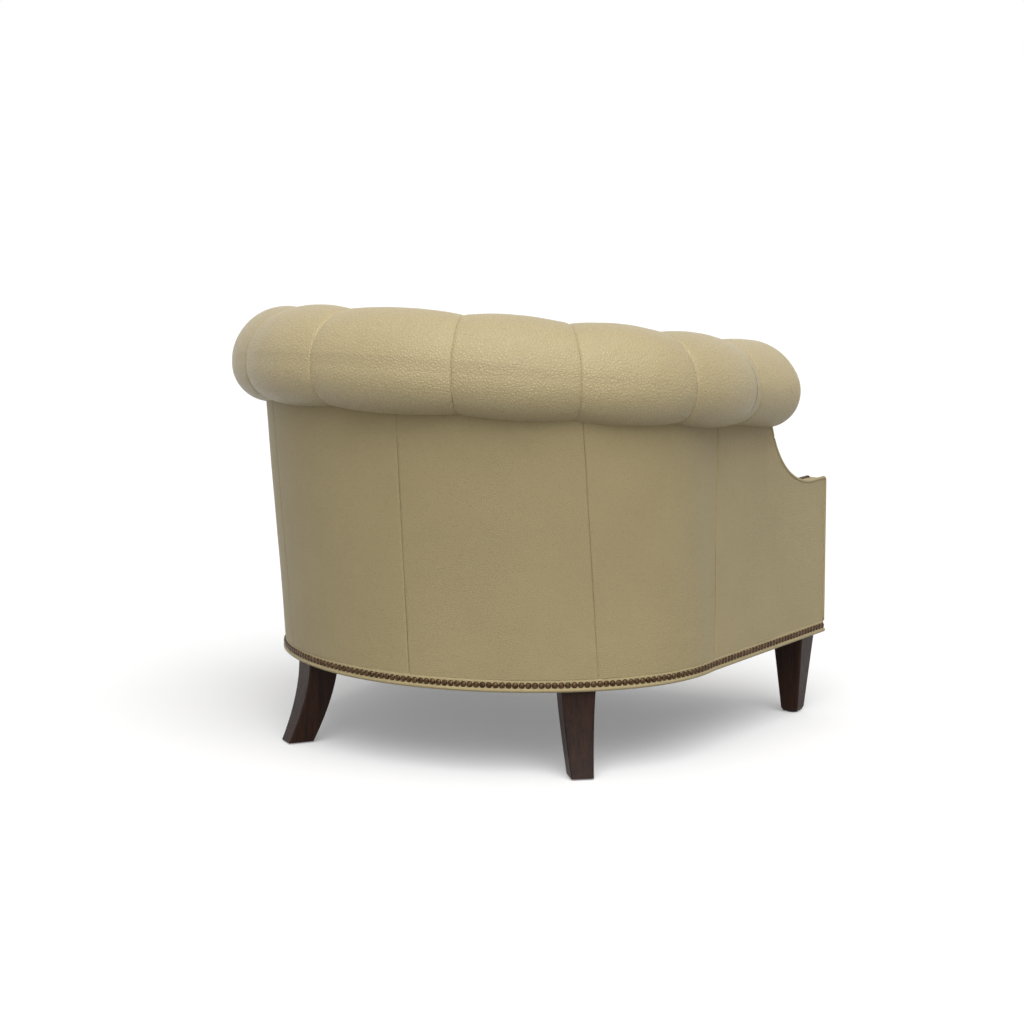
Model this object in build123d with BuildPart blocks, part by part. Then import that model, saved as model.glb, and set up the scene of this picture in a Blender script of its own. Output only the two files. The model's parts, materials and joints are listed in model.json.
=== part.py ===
from build123d import *
from math import acos, atan2, cos, hypot, pi, radians, sin, sqrt
import os

# A low barrel-backed club chair in millimetres. It faces -Y, its left is +X, and the floor is Z = 0.
# Plan places are measured from the arc centre, where the straight sides meet the rounded back.

# Body outline
LEG_HEIGHT = 150.0
HALF_WIDTH = 416.0
ARM_FLARE = 34.0
FRONT_DEPTH = 445.0
SIDE_RUN = 26.0
BASE_BACK_DEPTH = 345.0
TOP_BACK_DEPTH = 388.0
BASE_CORNER_INSET = 55.0
TOP_CORNER_INSET = 16.0
WALL_TOP_STRAIGHT = 50.0
PANEL_TOP_DROP = 3.0
PANEL_THICKNESS = 4.0
QUARTER_SEAM_X = 309.5

# Padded roll that runs round the back and arms
ROLL_BACK_HEIGHT = 705.0
ROLL_SLOPE = 0.115
ROLL_OUTER_RADIUS = 70.0
ROLL_FLATTENING = 1.0
ROLL_OVERHANG = 79.0
ROLL_RISE = 94.3
CREST_SLOPE = 0.036
CREST_SET_IN = 20.0
ROLL_INNER_RADIUS = 78.0
ROLL_FRONT_RUN = 192.0
CENTRE_CHANNEL = 240.0
END_CHANNEL = 158.0
SIDE_CHANNELS = 3
SEAM_SINK = 9.0
QUARTER_SINK = 1.6
END_SINK = 34.0
END_SHOULDER_SINK = 7.0
END_ROUNDING = 40.0
SIDE_WALL = 124.0
BACK_WALL = 235.0

# Arms in front of the roll
ARM_FRONT_HEIGHT = 445.0
ARM_THICKNESS = 38.0
ARM_PADDING = 5.0
SCOOP_CLEARANCE = 6.0
SCOOP_FLAT = 52.0
FACING_THICKNESS = 5.0

# Frame
RAIL_HEIGHT = 134.0
BACK_RAIL_THICKNESS = 28.0
FRONT_RAIL_THICKNESS = 28.0
SIDE_RAIL_THICKNESS = 34.0
ARM_BOARD_THICKNESS = 18.0
TOP_RAIL_THICKNESS = 24.0
POST_DEPTH = 40.0
POST_WIDTH = 28.0
POST_SET_BACK = 8.0
SIDE_POST_BACK = 20.0
GUSSET_LEG = 80.0
GUSSET_HEIGHT = 40.0
LEG_BLOCK_WIDTH = 64.0
LEG_BLOCK_DEPTH = 52.0
LEG_BLOCK_HEIGHT = 60.0

# Legs and their fixings
FRONT_LEG_TOP = 60.0
FRONT_LEG_FOOT = 34.0
FRONT_LEG_SET_BACK = 45.0
REAR_LEG_WIDTH_TOP = 61.0
REAR_LEG_WIDTH_FOOT = 40.0
REAR_LEG_DEPTH_TOP = 55.0
REAR_LEG_DEPTH_FOOT = 48.0
REAR_LEG_FLARE = 42.0
REAR_LEG_SWEEP = 1.7
REAR_LEG_SECTIONS = 5
REAR_LEG_TURN = 38.0
REAR_BOLT_SET_IN = 12.0
REAR_BOLT_OFFSET = 7.5
LEG_EDGE_RADIUS = 3.0
FOOT_CHAMFER = 6.0
GLIDE_DIAMETER = 22.0
GLIDE_THICKNESS = 2.5
BOLT_DIAMETER = 8.0
BOLT_IN_LEG = 50.0
BOLT_ROOM_ABOVE = 1.0
INSERT_DIAMETER = 12.0
INSERT_LENGTH = 25.0

# Seat
SPRING_ROWS = 6
SPRING_EDGE = 216.0
SPRING_WIRE = 3.8
SPRING_HALF_WAVE = 22.0
SPRING_STEP = 40.0
SPRING_BEND_SHARE = 0.45
CLIP_RADIUS = 3.3
CLIP_LENGTH = 16.0
CLIP_OFFSET = 9.0
CLIP_FOOT_WIDTH = 14.0
CLIP_FOOT_THICKNESS = 1.2
WEBBING_THICKNESS = 2.0
WEBBING_WIDTH = 50.0
WEBBING_SHARES = (0.25, 0.75)
SPRING_COVER_THICKNESS = 2.0
DECK_PAD_THICKNESS = 10.0
CUSHION_HEIGHT = 152.0
CUSHION_CROWN = 26.0
CROWN_SHOULDER_RISE = 15.6
CROWN_SHOULDER_INSET = 30.0
CROWN_TOP_INSET = 70.0
CUSHION_PULL_IN = 6.0
CUSHION_EDGE = 10.0
CUSHION_CORNER = 26.0
CUSHION_CORNER_TIGHTENING = 0.1
CUSHION_BACK_INSET = 40.0
CUSHION_FRONT_PROUD = 8.0
CUSHION_CLEARANCE = 3.0

# Trim
BAND_HEIGHT = 22.0
DUST_COVER_THICKNESS = 0.8
NAIL_DIAMETER = 10.4
NAIL_RISE = 3.2
NAIL_PITCH = 11.4
NAIL_SEAT = 0.1
NAIL_ABOVE_EDGE = 12.5
ARM_NAIL_FROM_EDGE = 9.0

# Clearances
FIT = 0.3
HOLE_CLEARANCE = 0.4

# Halvings that find a place on a curve to well under a micrometre
BISECTIONS = 40

# Heights that follow from the sizes above
FRAME_BOTTOM = LEG_HEIGHT + DUST_COVER_THICKNESS + FIT
RAIL_TOP = FRAME_BOTTOM + RAIL_HEIGHT
BAND_TOP = LEG_HEIGHT + BAND_HEIGHT
SPRING_COVER_BOTTOM = RAIL_TOP + 2 * CLIP_RADIUS + FIT
CHANNEL_BOTTOM = SPRING_COVER_BOTTOM + SPRING_COVER_THICKNESS + FIT
DECK_TOP = CHANNEL_BOTTOM + DECK_PAD_THICKNESS
CUSHION_BOTTOM = DECK_TOP + FIT
ROLL_UNDERSIDE = ROLL_OUTER_RADIUS - ROLL_FLATTENING
WALL_TOP = ROLL_BACK_HEIGHT - ROLL_UNDERSIDE
FRAME_SET_IN = PANEL_THICKNESS + FIT
WALL_DEPTH = POST_SET_BACK + POST_DEPTH + WEBBING_THICKNESS + 2 * FIT

# The chair's box is centred on the origin from front to back
BACK_REACH = TOP_BACK_DEPTH + ROLL_OVERHANG
FRONT_REACH = FRONT_DEPTH + CUSHION_FRONT_PROUD
CENTRE_SHIFT = (FRONT_REACH - BACK_REACH) / 2

# Arms run forward from the side seam and flare a little
FRONT_HALF_WIDTH = HALF_WIDTH + ARM_FLARE
ARM_ANGLE = atan2(ARM_FLARE, FRONT_DEPTH - SIDE_RUN)
ARM_LENGTH = hypot(ARM_FLARE, FRONT_DEPTH - SIDE_RUN)
ARM_FORWARD = (sin(ARM_ANGLE), -cos(ARM_ANGLE))
ARM_OUTWARD = (cos(ARM_ANGLE), sin(ARM_ANGLE))


class BackCurve:
    """The rounded back from above: two corner arcs and a back arc, tangent to each other."""

    def __init__(self, half_width, back_depth, corner_inset, offset=0.0, straight=0.0):
        self.half_width = half_width + offset
        self.back_depth = back_depth + offset
        self.straight = straight
        self.corner_radius = min(self.half_width, self.back_depth - straight) - corner_inset
        self.corner_x = self.half_width - self.corner_radius
        rise = self.back_depth - straight - self.corner_radius
        spread = (self.corner_x**2 + rise**2) / (2 * rise)
        self.back_radius = self.corner_radius + spread
        self.turn = acos(self.corner_x / spread)

    def corner(self, angle, side=1):
        x = self.corner_x + self.corner_radius * cos(angle)
        return (side * x, self.straight + self.corner_radius * sin(angle))

    def back(self, angle):
        y = self.back_depth - self.back_radius + self.back_radius * sin(angle)
        return (self.back_radius * cos(angle), y)

    def corner_length(self):
        return self.corner_radius * self.turn

    def back_length(self):
        return self.back_radius * (pi / 2 - self.turn)

    def length(self):
        return self.corner_length() + self.back_length()

    def depth_at(self, x):
        if abs(x) < self.back_radius * cos(self.turn):
            return self.back_depth - self.back_radius + sqrt(self.back_radius**2 - x**2)
        return self.straight + sqrt(self.corner_radius**2 - (abs(x) - self.corner_x) ** 2)

    def inset_from(self, point, outward):
        """How far inside a point the curve lies, measured against an outward direction."""
        low, high = -self.half_width, self.half_width
        for _ in range(BISECTIONS):
            middle = (low + high) / 2
            x = abs(point[0] - middle * outward[0])
            inside = x < self.half_width and point[1] - middle * outward[1] < self.depth_at(x)
            if inside:
                high = middle
            else:
                low = middle
        return high

    def station(self, distance):
        """Point and outward direction at a distance along the curve from the middle of the back."""
        side = 1 if distance >= 0 else -1
        run = abs(distance)
        if run <= self.back_length():
            angle = pi / 2 - run / self.back_radius
            x, y = self.back(angle)
        elif run <= self.length():
            angle = self.turn - (run - self.back_length()) / self.corner_radius
            x, y = self.corner(angle)
        elif run <= self.length() + self.straight + SIDE_RUN:
            angle = 0.0
            x, y = self.half_width, self.straight + self.length() - run
        else:
            angle = ARM_ANGLE
            ahead = run - self.length() - self.straight - SIDE_RUN
            x = self.half_width + ahead * ARM_FORWARD[0]
            y = -SIDE_RUN + ahead * ARM_FORWARD[1]
        return (side * x, y), (side * cos(angle), sin(angle))

    def draw(self, side_run):
        """Edges of the curve from the left side round to the right, inside a line block."""
        Line((self.half_width, -side_run), (self.half_width, self.straight))
        self.draw_arcs()
        Line((-self.half_width, self.straight), (-self.half_width, -side_run))

    def draw_arcs(self):
        half = self.turn / 2
        ThreePointArc(self.corner(0), self.corner(half), self.corner(self.turn))
        ThreePointArc(self.corner(self.turn), (0, self.back_depth), self.corner(self.turn, -1))
        ThreePointArc(self.corner(self.turn, -1), self.corner(half, -1), self.corner(0, -1))


def base_curve(offset=0.0):
    return BackCurve(HALF_WIDTH, BASE_BACK_DEPTH, BASE_CORNER_INSET, offset)


def top_curve(offset=0.0):
    return BackCurve(HALF_WIDTH, TOP_BACK_DEPTH, TOP_CORNER_INSET, offset)


def wall_top_curve(offset=0.0):
    return BackCurve(HALF_WIDTH, TOP_BACK_DEPTH, TOP_CORNER_INSET, offset, WALL_TOP_STRAIGHT)


ROLL_PATH = top_curve()
ROLL_END = ROLL_PATH.length() + SIDE_RUN + ROLL_FRONT_RUN
SIDE_CHANNEL = (ROLL_END - CENTRE_CHANNEL / 2 - END_CHANNEL) / SIDE_CHANNELS


def level(height):
    return Plane((0, CENTRE_SHIFT, height))


def roll_height(y):
    """Height of the roll's centre above the floor, which falls towards the front."""
    return ROLL_BACK_HEIGHT - ROLL_SLOPE * (TOP_BACK_DEPTH - y)


# The arm's top line leaves the roll's underside just ahead of the roll's end and scoops down to the front
ARM_COVER_START = ROLL_FRONT_RUN + FACING_THICKNESS + 2 * FIT
SCOOP_START = ARM_COVER_START + SCOOP_CLEARANCE
SCOOP_RUN = ARM_LENGTH - SCOOP_FLAT - SCOOP_START
SCOOP_HEAD = roll_height(-SIDE_RUN - SCOOP_START * cos(ARM_ANGLE)) - ROLL_UNDERSIDE - FIT
SCOOP_FALL = SCOOP_HEAD - ARM_FRONT_HEIGHT
SCOOP_RADIUS = (SCOOP_RUN**2 + SCOOP_FALL**2) / (2 * SCOOP_FALL)


def polar(centre, radius, angle):
    return (centre[0] + radius * cos(angle), centre[1] + radius * sin(angle))


def wall_lean(point, outward, height):
    """How far inside a point of the roll's path the leaning outside face stands at a height."""
    if point[1] <= 0:
        return 0.0
    rise = (height - BAND_TOP) / (WALL_TOP - BAND_TOP)
    return base_curve().inset_from(point, outward) * (1 - rise)


def under_roll(drop=0.0):
    """Sloping plane just under the roll, or lower by drop."""
    tilt = atan2(ROLL_SLOPE, 1)
    height = roll_height(0) - ROLL_UNDERSIDE - FIT - drop
    return Plane((0, CENTRE_SHIFT, height), (1, 0, 0), (0, -sin(tilt), cos(tilt)))


def upright_plane(point, outward, height=0.0):
    """Upright plane across a wall: its X points outward and its Y points up."""
    origin = (point[0], point[1] + CENTRE_SHIFT, height)
    return Plane(origin, (outward[0], outward[1], 0), (outward[1], -outward[0], 0))


def arm_plane(depth=0.0):
    """Plane of the left arm, depth inside its outer face: X points back from the side seam, Y up."""
    x = HALF_WIDTH - depth * ARM_OUTWARD[0]
    y = CENTRE_SHIFT - SIDE_RUN - depth * ARM_OUTWARD[1]
    back = (-ARM_FORWARD[0], -ARM_FORWARD[1], 0)
    return Plane((x, y, 0), back, (ARM_OUTWARD[0], ARM_OUTWARD[1], 0))


def front_plane(set_in=0.0):
    """Upright plane across the front, facing backwards, set_in behind the front face."""
    return Plane((0, CENTRE_SHIFT - FRONT_DEPTH + set_in, 0), (-1, 0, 0), (0, 1, 0))


def arm_point(ahead, depth):
    """Plan point beside the left arm: ahead of the side seam and inside the outer face."""
    x = HALF_WIDTH + ahead * ARM_FORWARD[0] - depth * ARM_OUTWARD[0]
    y = -SIDE_RUN + ahead * ARM_FORWARD[1] - depth * ARM_OUTWARD[1]
    return (x, y)


def mirrored(part):
    """The same piece on the right side."""
    with BuildPart() as copy:
        mirror(part, about=Plane.YZ)
    return copy.part


def both_sides(solid):
    """A solid and its twin on the right side."""
    return [solid] + list(mirrored(solid).solids())


def save(part, name):
    part.label = name
    export_step(part, f"parts/{name}.step")


def save_pair(part, name):
    save(part, f"{name}_left")
    save(mirrored(part), f"{name}_right")


def save_group(solids, name):
    save(Compound(children=solids), name)


def band_face(curve, set_in, thickness):
    """Face of a band that follows a back curve, from set_in inside it to thickness further in."""
    outer = curve(-set_in)
    inner = curve(-set_in - thickness)
    with BuildSketch() as face:
        with BuildLine():
            outer.draw(SIDE_RUN)
            inner.draw(SIDE_RUN)
            for side in (1, -1):
                Line((side * outer.half_width, -SIDE_RUN), (side * inner.half_width, -SIDE_RUN))
        make_face()
    return face.sketch


# Outside panels

def outside_shell():
    with BuildPart() as shell:
        with BuildSketch(level(BAND_TOP)):
            add(band_face(base_curve, 0.0, PANEL_THICKNESS))
        with BuildSketch(level(WALL_TOP)):
            add(band_face(wall_top_curve, 0.0, PANEL_THICKNESS))
        loft(ruled=True)
        split(bisect_by=under_roll(PANEL_TOP_DROP), keep=Keep.BOTTOM)
    return shell.part


def quarter_seam_plane():
    """Upright plane through the quarter seam; its normal points towards the side."""
    return Plane.YZ.offset(QUARTER_SEAM_X)


def outside_panels():
    shell = outside_shell()
    with BuildPart() as back_panel:
        add(shell)
        split(bisect_by=Plane.YZ, keep=Keep.TOP)
        split(bisect_by=quarter_seam_plane(), keep=Keep.BOTTOM)
    save_pair(back_panel.part, "outside_back")
    with BuildPart() as quarter_panel:
        add(shell)
        split(bisect_by=Plane.YZ, keep=Keep.TOP)
        split(bisect_by=quarter_seam_plane(), keep=Keep.TOP)
    save_pair(quarter_panel.part, "outside_quarter")


# Arms

def scoop_top(drop):
    """Where the scoop meets the roll's underside, in the arm's plane."""
    radius = SCOOP_RADIUS + drop
    centre_x = -(ARM_LENGTH - SCOOP_FLAT)
    centre_y = ARM_FRONT_HEIGHT + SCOOP_RADIUS
    slope = ROLL_SLOPE * cos(ARM_ANGLE)
    start = roll_height(-SIDE_RUN) - ROLL_UNDERSIDE - FIT - drop
    gap = start + slope * centre_x - centre_y
    along = (-slope * gap + sqrt(radius**2 * (1 + slope**2) - gap**2)) / (1 + slope**2)
    return (centre_x + along, start + slope * (centre_x + along)), start


def arm_outline(drop, bottom, back):
    """Side view of an arm with its scoop, drop inside the finished edge."""
    (top_x, top_y), start = scoop_top(drop)
    radius = SCOOP_RADIUS + drop
    centre = (-(ARM_LENGTH - SCOOP_FLAT), ARM_FRONT_HEIGHT + SCOOP_RADIUS)
    front = -ARM_LENGTH - ARM_THICKNESS
    sweep = (atan2(top_y - centre[1], top_x - centre[0]) - pi / 2) / 2
    low = polar(centre, radius, -pi / 2)
    head = (back, start + ROLL_SLOPE * cos(ARM_ANGLE) * back)
    with BuildSketch() as face:
        with BuildLine():
            Polyline((top_x, top_y), head, (back, bottom), (front, bottom), (front, low[1]), low)
            ThreePointArc(low, polar(centre, radius, sweep), (top_x, top_y))
        make_face()
    return face.sketch


def outside_arm():
    with BuildPart() as panel:
        with BuildSketch(arm_plane()):
            add(arm_outline(0.0, BAND_TOP, 0.0))
        extrude(amount=-PANEL_THICKNESS)
        split(bisect_by=front_plane(), keep=Keep.TOP)
    save_pair(panel.part, "outside_arm")


def arm_board():
    with BuildPart() as board:
        with BuildSketch(arm_plane(FRAME_SET_IN)):
            add(arm_outline(ARM_PADDING + FIT, FRAME_BOTTOM, 0.0))
        extrude(amount=-ARM_BOARD_THICKNESS)
        split(bisect_by=front_plane(ARM_PADDING + FIT), keep=Keep.TOP)
    save_pair(board.part, "arm_board")


def arm_cover_room():
    """Space inside the arm's cover for the board, and below the seat for the rails."""
    with BuildPart() as room:
        with BuildSketch(arm_plane(FRAME_SET_IN)):
            add(arm_outline(ARM_PADDING, LEG_HEIGHT, 0.0))
        extrude(amount=-(ARM_BOARD_THICKNESS + 2 * FIT))
        with BuildSketch(arm_plane(FRAME_SET_IN)):
            with Locations((0, LEG_HEIGHT)):
                Rectangle(2 * ARM_LENGTH, CHANNEL_BOTTOM - LEG_HEIGHT, align=(Align.MAX, Align.MIN))
        extrude(amount=-ARM_THICKNESS)
        split(bisect_by=front_plane(ARM_PADDING), keep=Keep.TOP)
    return room.part


def arm_cover():
    """Padded leather over the top, front and inside of the arm ahead of the roll."""
    with BuildPart() as cover:
        with BuildSketch(arm_plane(FRAME_SET_IN)):
            add(arm_outline(0.0, BAND_TOP, -ARM_COVER_START))
        extrude(amount=-(ARM_THICKNESS - FRAME_SET_IN))
        split(bisect_by=front_plane(), keep=Keep.TOP)
        add(arm_cover_room(), mode=Mode.SUBTRACT)
    save_pair(cover.part, "arm_cover")


# Channels of the roll and inside back

def roll_rise(y):
    """Height of the roll's crest over its middle; the roll is fuller at the back than on the arms."""
    return ROLL_RISE + CREST_SLOPE * y


def roll_top_arc(crest_rise):
    """Radius and join angle of the broad arc over the top of the roll."""
    run = ROLL_OVERHANG + CREST_SET_IN - ROLL_OUTER_RADIUS
    rise = crest_rise - ROLL_OUTER_RADIUS
    spread = (run**2 + rise**2) / (2 * rise)
    return ROLL_OUTER_RADIUS + spread, acos(run / spread)


def channel_profile(point, outward, sink):
    """Section across the roll and inside back, with the leather drawn in by sink."""
    backward = outward[1]
    bottom = CHANNEL_BOTTOM - roll_height(point[1])
    seat_wall = SIDE_WALL + (BACK_WALL - SIDE_WALL) * backward**2 - sink
    crest_rise = roll_rise(point[1])
    inner_centre = (-CREST_SET_IN, crest_rise - ROLL_INNER_RADIUS)
    inner_radius = ROLL_INNER_RADIUS - sink
    top_radius, join = roll_top_arc(crest_rise)
    top_centre = (-CREST_SET_IN, crest_rise - top_radius)
    outer_centre = (ROLL_OVERHANG - ROLL_OUTER_RADIUS, 0)
    outer_radius = ROLL_OUTER_RADIUS - sink
    foot = (-seat_wall, bottom)
    reach = (foot[0] - inner_centre[0], foot[1] - inner_centre[1])
    touch = atan2(reach[1], reach[0]) + 2 * pi - acos(inner_radius / hypot(*reach))
    throat = polar(inner_centre, inner_radius, touch)
    crest = polar(inner_centre, inner_radius, pi / 2)
    shoulder = polar(outer_centre, outer_radius, join)
    keel = polar(outer_centre, outer_radius, -pi / 2)
    lip = (-PANEL_THICKNESS, -ROLL_UNDERSIDE - ROLL_SLOPE * backward * PANEL_THICKNESS)
    ledge = (-WALL_DEPTH, -ROLL_UNDERSIDE - ROLL_SLOPE * backward * WALL_DEPTH)
    heel = (-WALL_DEPTH - wall_lean(point, outward, CHANNEL_BOTTOM), bottom)
    with BuildSketch() as face:
        with BuildLine():
            Line(foot, throat)
            ThreePointArc(throat, polar(inner_centre, inner_radius, (touch + pi / 2) / 2), crest)
            ThreePointArc(crest, polar(top_centre, top_radius - sink, (join + pi / 2) / 2), shoulder)
            ThreePointArc(shoulder, polar(outer_centre, outer_radius, (join - pi / 2) / 2), keel)
            Polyline(keel, lip, ledge, heel, foot)
        make_face()
    return face.sketch


def channel(sections):
    """One sewn channel, lofted through (distance, sink) sections along the roll."""
    with BuildPart() as pad:
        for distance, sink in sections:
            point, outward = ROLL_PATH.station(distance)
            with BuildSketch(upright_plane(point, outward, roll_height(point[1]))):
                add(channel_profile(point, outward, sink))
        loft()
    return pad.part


def puffed(start, end):
    """Sections of a channel that swells between two sewn seams."""
    quarter = (end - start) / 4
    sinks = (SEAM_SINK, QUARTER_SINK, 0, QUARTER_SINK, SEAM_SINK)
    return [(start + index * quarter, sink) for index, sink in enumerate(sinks)]


def channels():
    half = CENTRE_CHANNEL / 2
    save(channel(puffed(-half, half)), "back_channel_centre")
    for index in range(SIDE_CHANNELS):
        start = half + index * SIDE_CHANNEL
        end = start + SIDE_CHANNEL
        save_pair(channel(puffed(start, end)), f"back_channel_{index + 1}")
    start = ROLL_END - END_CHANNEL
    middle = start + (END_CHANNEL - END_ROUNDING) / 2
    shoulder = ROLL_END - END_ROUNDING
    pad = channel([(start, SEAM_SINK), (middle, 0), (shoulder, END_SHOULDER_SINK), (ROLL_END, END_SINK)])
    save_pair(pad, "arm_channel")


def roll_facing():
    """Flat panel that closes the front end of the roll."""
    point, outward = ROLL_PATH.station(ROLL_END)
    ahead = (outward[1], -outward[0])
    front = (point[0] + FIT * ahead[0], point[1] + FIT * ahead[1])
    with BuildPart() as facing:
        with BuildSketch(upright_plane(front, outward, roll_height(point[1]))):
            add(channel_profile(point, outward, END_SINK))
        extrude(amount=FACING_THICKNESS)
    save_pair(facing.part, "roll_facing")


# Frame

def back_rail():
    with BuildPart() as rail:
        with BuildSketch(level(FRAME_BOTTOM)):
            add(band_face(base_curve, FRAME_SET_IN, BACK_RAIL_THICKNESS))
        extrude(amount=RAIL_HEIGHT)
    save(rail.part, "back_rail")


def top_rail():
    with BuildPart() as rail:
        with BuildSketch(level(0)):
            add(band_face(top_curve, POST_SET_BACK, POST_DEPTH))
        extrude(amount=ROLL_BACK_HEIGHT)
        split(bisect_by=under_roll(FIT), keep=Keep.BOTTOM)
        split(bisect_by=under_roll(FIT + TOP_RAIL_THICKNESS), keep=Keep.TOP)
    save(rail.part, "top_rail")


def wall_strip(distance, set_in, depth, width, bottom):
    """Leaning board or strip from a height up to the top rail."""
    point, outward = ROLL_PATH.station(distance)
    foot = set_in + wall_lean(point, outward, bottom)
    head = set_in + wall_lean(point, outward, WALL_TOP)
    with BuildPart() as strip:
        with BuildSketch(upright_plane(point, outward)):
            with BuildLine():
                Polyline(
                    (-foot, bottom),
                    (-foot - depth, bottom),
                    (-head - depth, WALL_TOP),
                    (-head, WALL_TOP),
                    close=True,
                )
            make_face()
        extrude(amount=width / 2, both=True)
        split(bisect_by=under_roll(2 * FIT + TOP_RAIL_THICKNESS), keep=Keep.BOTTOM)
    return strip.part


def posts_and_webbing():
    side = ROLL_PATH.length() - SIDE_POST_BACK
    save(wall_strip(0, POST_SET_BACK, POST_DEPTH, POST_WIDTH, RAIL_TOP), "back_post_centre")
    save_pair(wall_strip(side / 2, POST_SET_BACK, POST_DEPTH, POST_WIDTH, RAIL_TOP), "back_post")
    save_pair(wall_strip(side, POST_SET_BACK, POST_DEPTH, POST_WIDTH, RAIL_TOP), "side_post")
    inside = POST_SET_BACK + POST_DEPTH - WEBBING_THICKNESS
    strips = []
    for share in WEBBING_SHARES:
        strip = wall_strip(share * side, inside, WEBBING_THICKNESS, WEBBING_WIDTH, CHANNEL_BOTTOM)
        strips.extend(both_sides(strip.solid()))
    save_group(strips, "back_webbing")


def leg_places():
    """Plan places of the left legs' bolts: front, then rear with its outward direction."""
    ahead = ARM_LENGTH - FRONT_LEG_SET_BACK
    front = arm_point(ahead, FRAME_SET_IN + ARM_BOARD_THICKNESS + FIT + SIDE_RAIL_THICKNESS / 2)
    angle = radians(REAR_LEG_TURN)
    outward = (sin(angle), cos(angle))
    curve = base_curve(-FRAME_SET_IN - BACK_RAIL_THICKNESS - FIT - REAR_BOLT_SET_IN)
    rear = curve.back(pi / 2 - angle)
    return front, rear, outward


def peg(place, diameter, bottom, height):
    """Upright round bar at a plan place."""
    with BuildPart() as bar:
        with BuildSketch(level(bottom)):
            with Locations(place):
                Circle(diameter / 2)
        extrude(amount=height)
    return bar.part


def insert_room(place):
    return peg(place, INSERT_DIAMETER + HOLE_CLEARANCE, FRAME_BOTTOM, INSERT_LENGTH + FIT)


def side_rail():
    depth = FRAME_SET_IN + ARM_BOARD_THICKNESS + FIT
    front = leg_places()[0]
    with BuildPart() as rail:
        with BuildSketch(arm_plane(depth)):
            with Locations((-FIT, FRAME_BOTTOM)):
                Rectangle(ARM_LENGTH, RAIL_HEIGHT, align=(Align.MAX, Align.MIN))
        extrude(amount=-SIDE_RAIL_THICKNESS)
        split(bisect_by=front_plane(ARM_PADDING + FIT), keep=Keep.TOP)
        add(insert_room(front), mode=Mode.SUBTRACT)
    save_pair(rail.part, "side_rail")


def front_rail_half_length():
    depth = FRAME_SET_IN + ARM_BOARD_THICKNESS + 2 * FIT + SIDE_RAIL_THICKNESS
    return arm_point(ARM_LENGTH - ARM_PADDING - FRONT_RAIL_THICKNESS - 2 * FRAME_SET_IN, depth)[0]


def front_rail():
    with BuildPart() as rail:
        with BuildSketch(front_plane(FRAME_SET_IN)):
            with Locations((0, FRAME_BOTTOM)):
                Rectangle(2 * front_rail_half_length(), RAIL_HEIGHT, align=(Align.CENTER, Align.MIN))
        extrude(amount=FRONT_RAIL_THICKNESS)
    save(rail.part, "front_rail")


def corner_gusset():
    """Triangular brace glued into the corner between the front rail and a side rail."""
    x = front_rail_half_length()
    y = -FRONT_DEPTH + FRAME_SET_IN + FRONT_RAIL_THICKNESS + FIT
    along_rail = (x - GUSSET_LEG * ARM_FORWARD[0], y - GUSSET_LEG * ARM_FORWARD[1])
    with BuildPart() as gusset:
        with BuildSketch(level(FRAME_BOTTOM)):
            with BuildLine():
                Polyline((x, y), along_rail, (x - GUSSET_LEG, y), close=True)
            make_face()
        extrude(amount=GUSSET_HEIGHT)
    save_pair(gusset.part, "corner_gusset")


def rear_leg_block():
    """Block glued inside the back rail, which takes the rear leg's bolt."""
    rear, outward = leg_places()[1:]
    reach = LEG_BLOCK_DEPTH
    across = (outward[1], -outward[0])
    half = LEG_BLOCK_WIDTH / 2
    inner = base_curve(-FRAME_SET_IN - BACK_RAIL_THICKNESS - FIT)
    corners = []
    for out, side in ((reach, -half), (reach, half), (-reach / 2, half), (-reach / 2, -half)):
        x = rear[0] + out * outward[0] + side * across[0]
        y = rear[1] + out * outward[1] + side * across[1]
        corners.append((x, y))
    with BuildPart() as block:
        with BuildSketch(level(FRAME_BOTTOM)):
            with BuildLine():
                Polyline(*corners, close=True)
            make_face()
            with BuildSketch(level(FRAME_BOTTOM), mode=Mode.INTERSECT):
                with BuildLine():
                    inner.draw_arcs()
                    Line(inner.corner(0), inner.corner(0, -1))
                make_face()
        extrude(amount=LEG_BLOCK_HEIGHT)
        add(insert_room(rear), mode=Mode.SUBTRACT)
    save_pair(block.part, "rear_leg_block")


# Legs

def bolt_room(place):
    height = FIT + BOLT_IN_LEG + BOLT_ROOM_ABOVE
    return peg(place, BOLT_DIAMETER + HOLE_CLEARANCE, LEG_HEIGHT - BOLT_IN_LEG - FIT, height)


def front_leg():
    place = leg_places()[0]
    sections = (
        (LEG_HEIGHT, FRONT_LEG_TOP),
        (GLIDE_THICKNESS + FOOT_CHAMFER, FRONT_LEG_FOOT),
        (GLIDE_THICKNESS, FRONT_LEG_FOOT - FOOT_CHAMFER),
    )
    with BuildPart() as leg:
        for height, size in sections:
            with BuildSketch(level(height)):
                with Locations(place):
                    RectangleRounded(size, size, LEG_EDGE_RADIUS)
        loft(ruled=True)
        add(bolt_room(place), mode=Mode.SUBTRACT)
    save_pair(leg.part, "front_leg")


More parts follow.
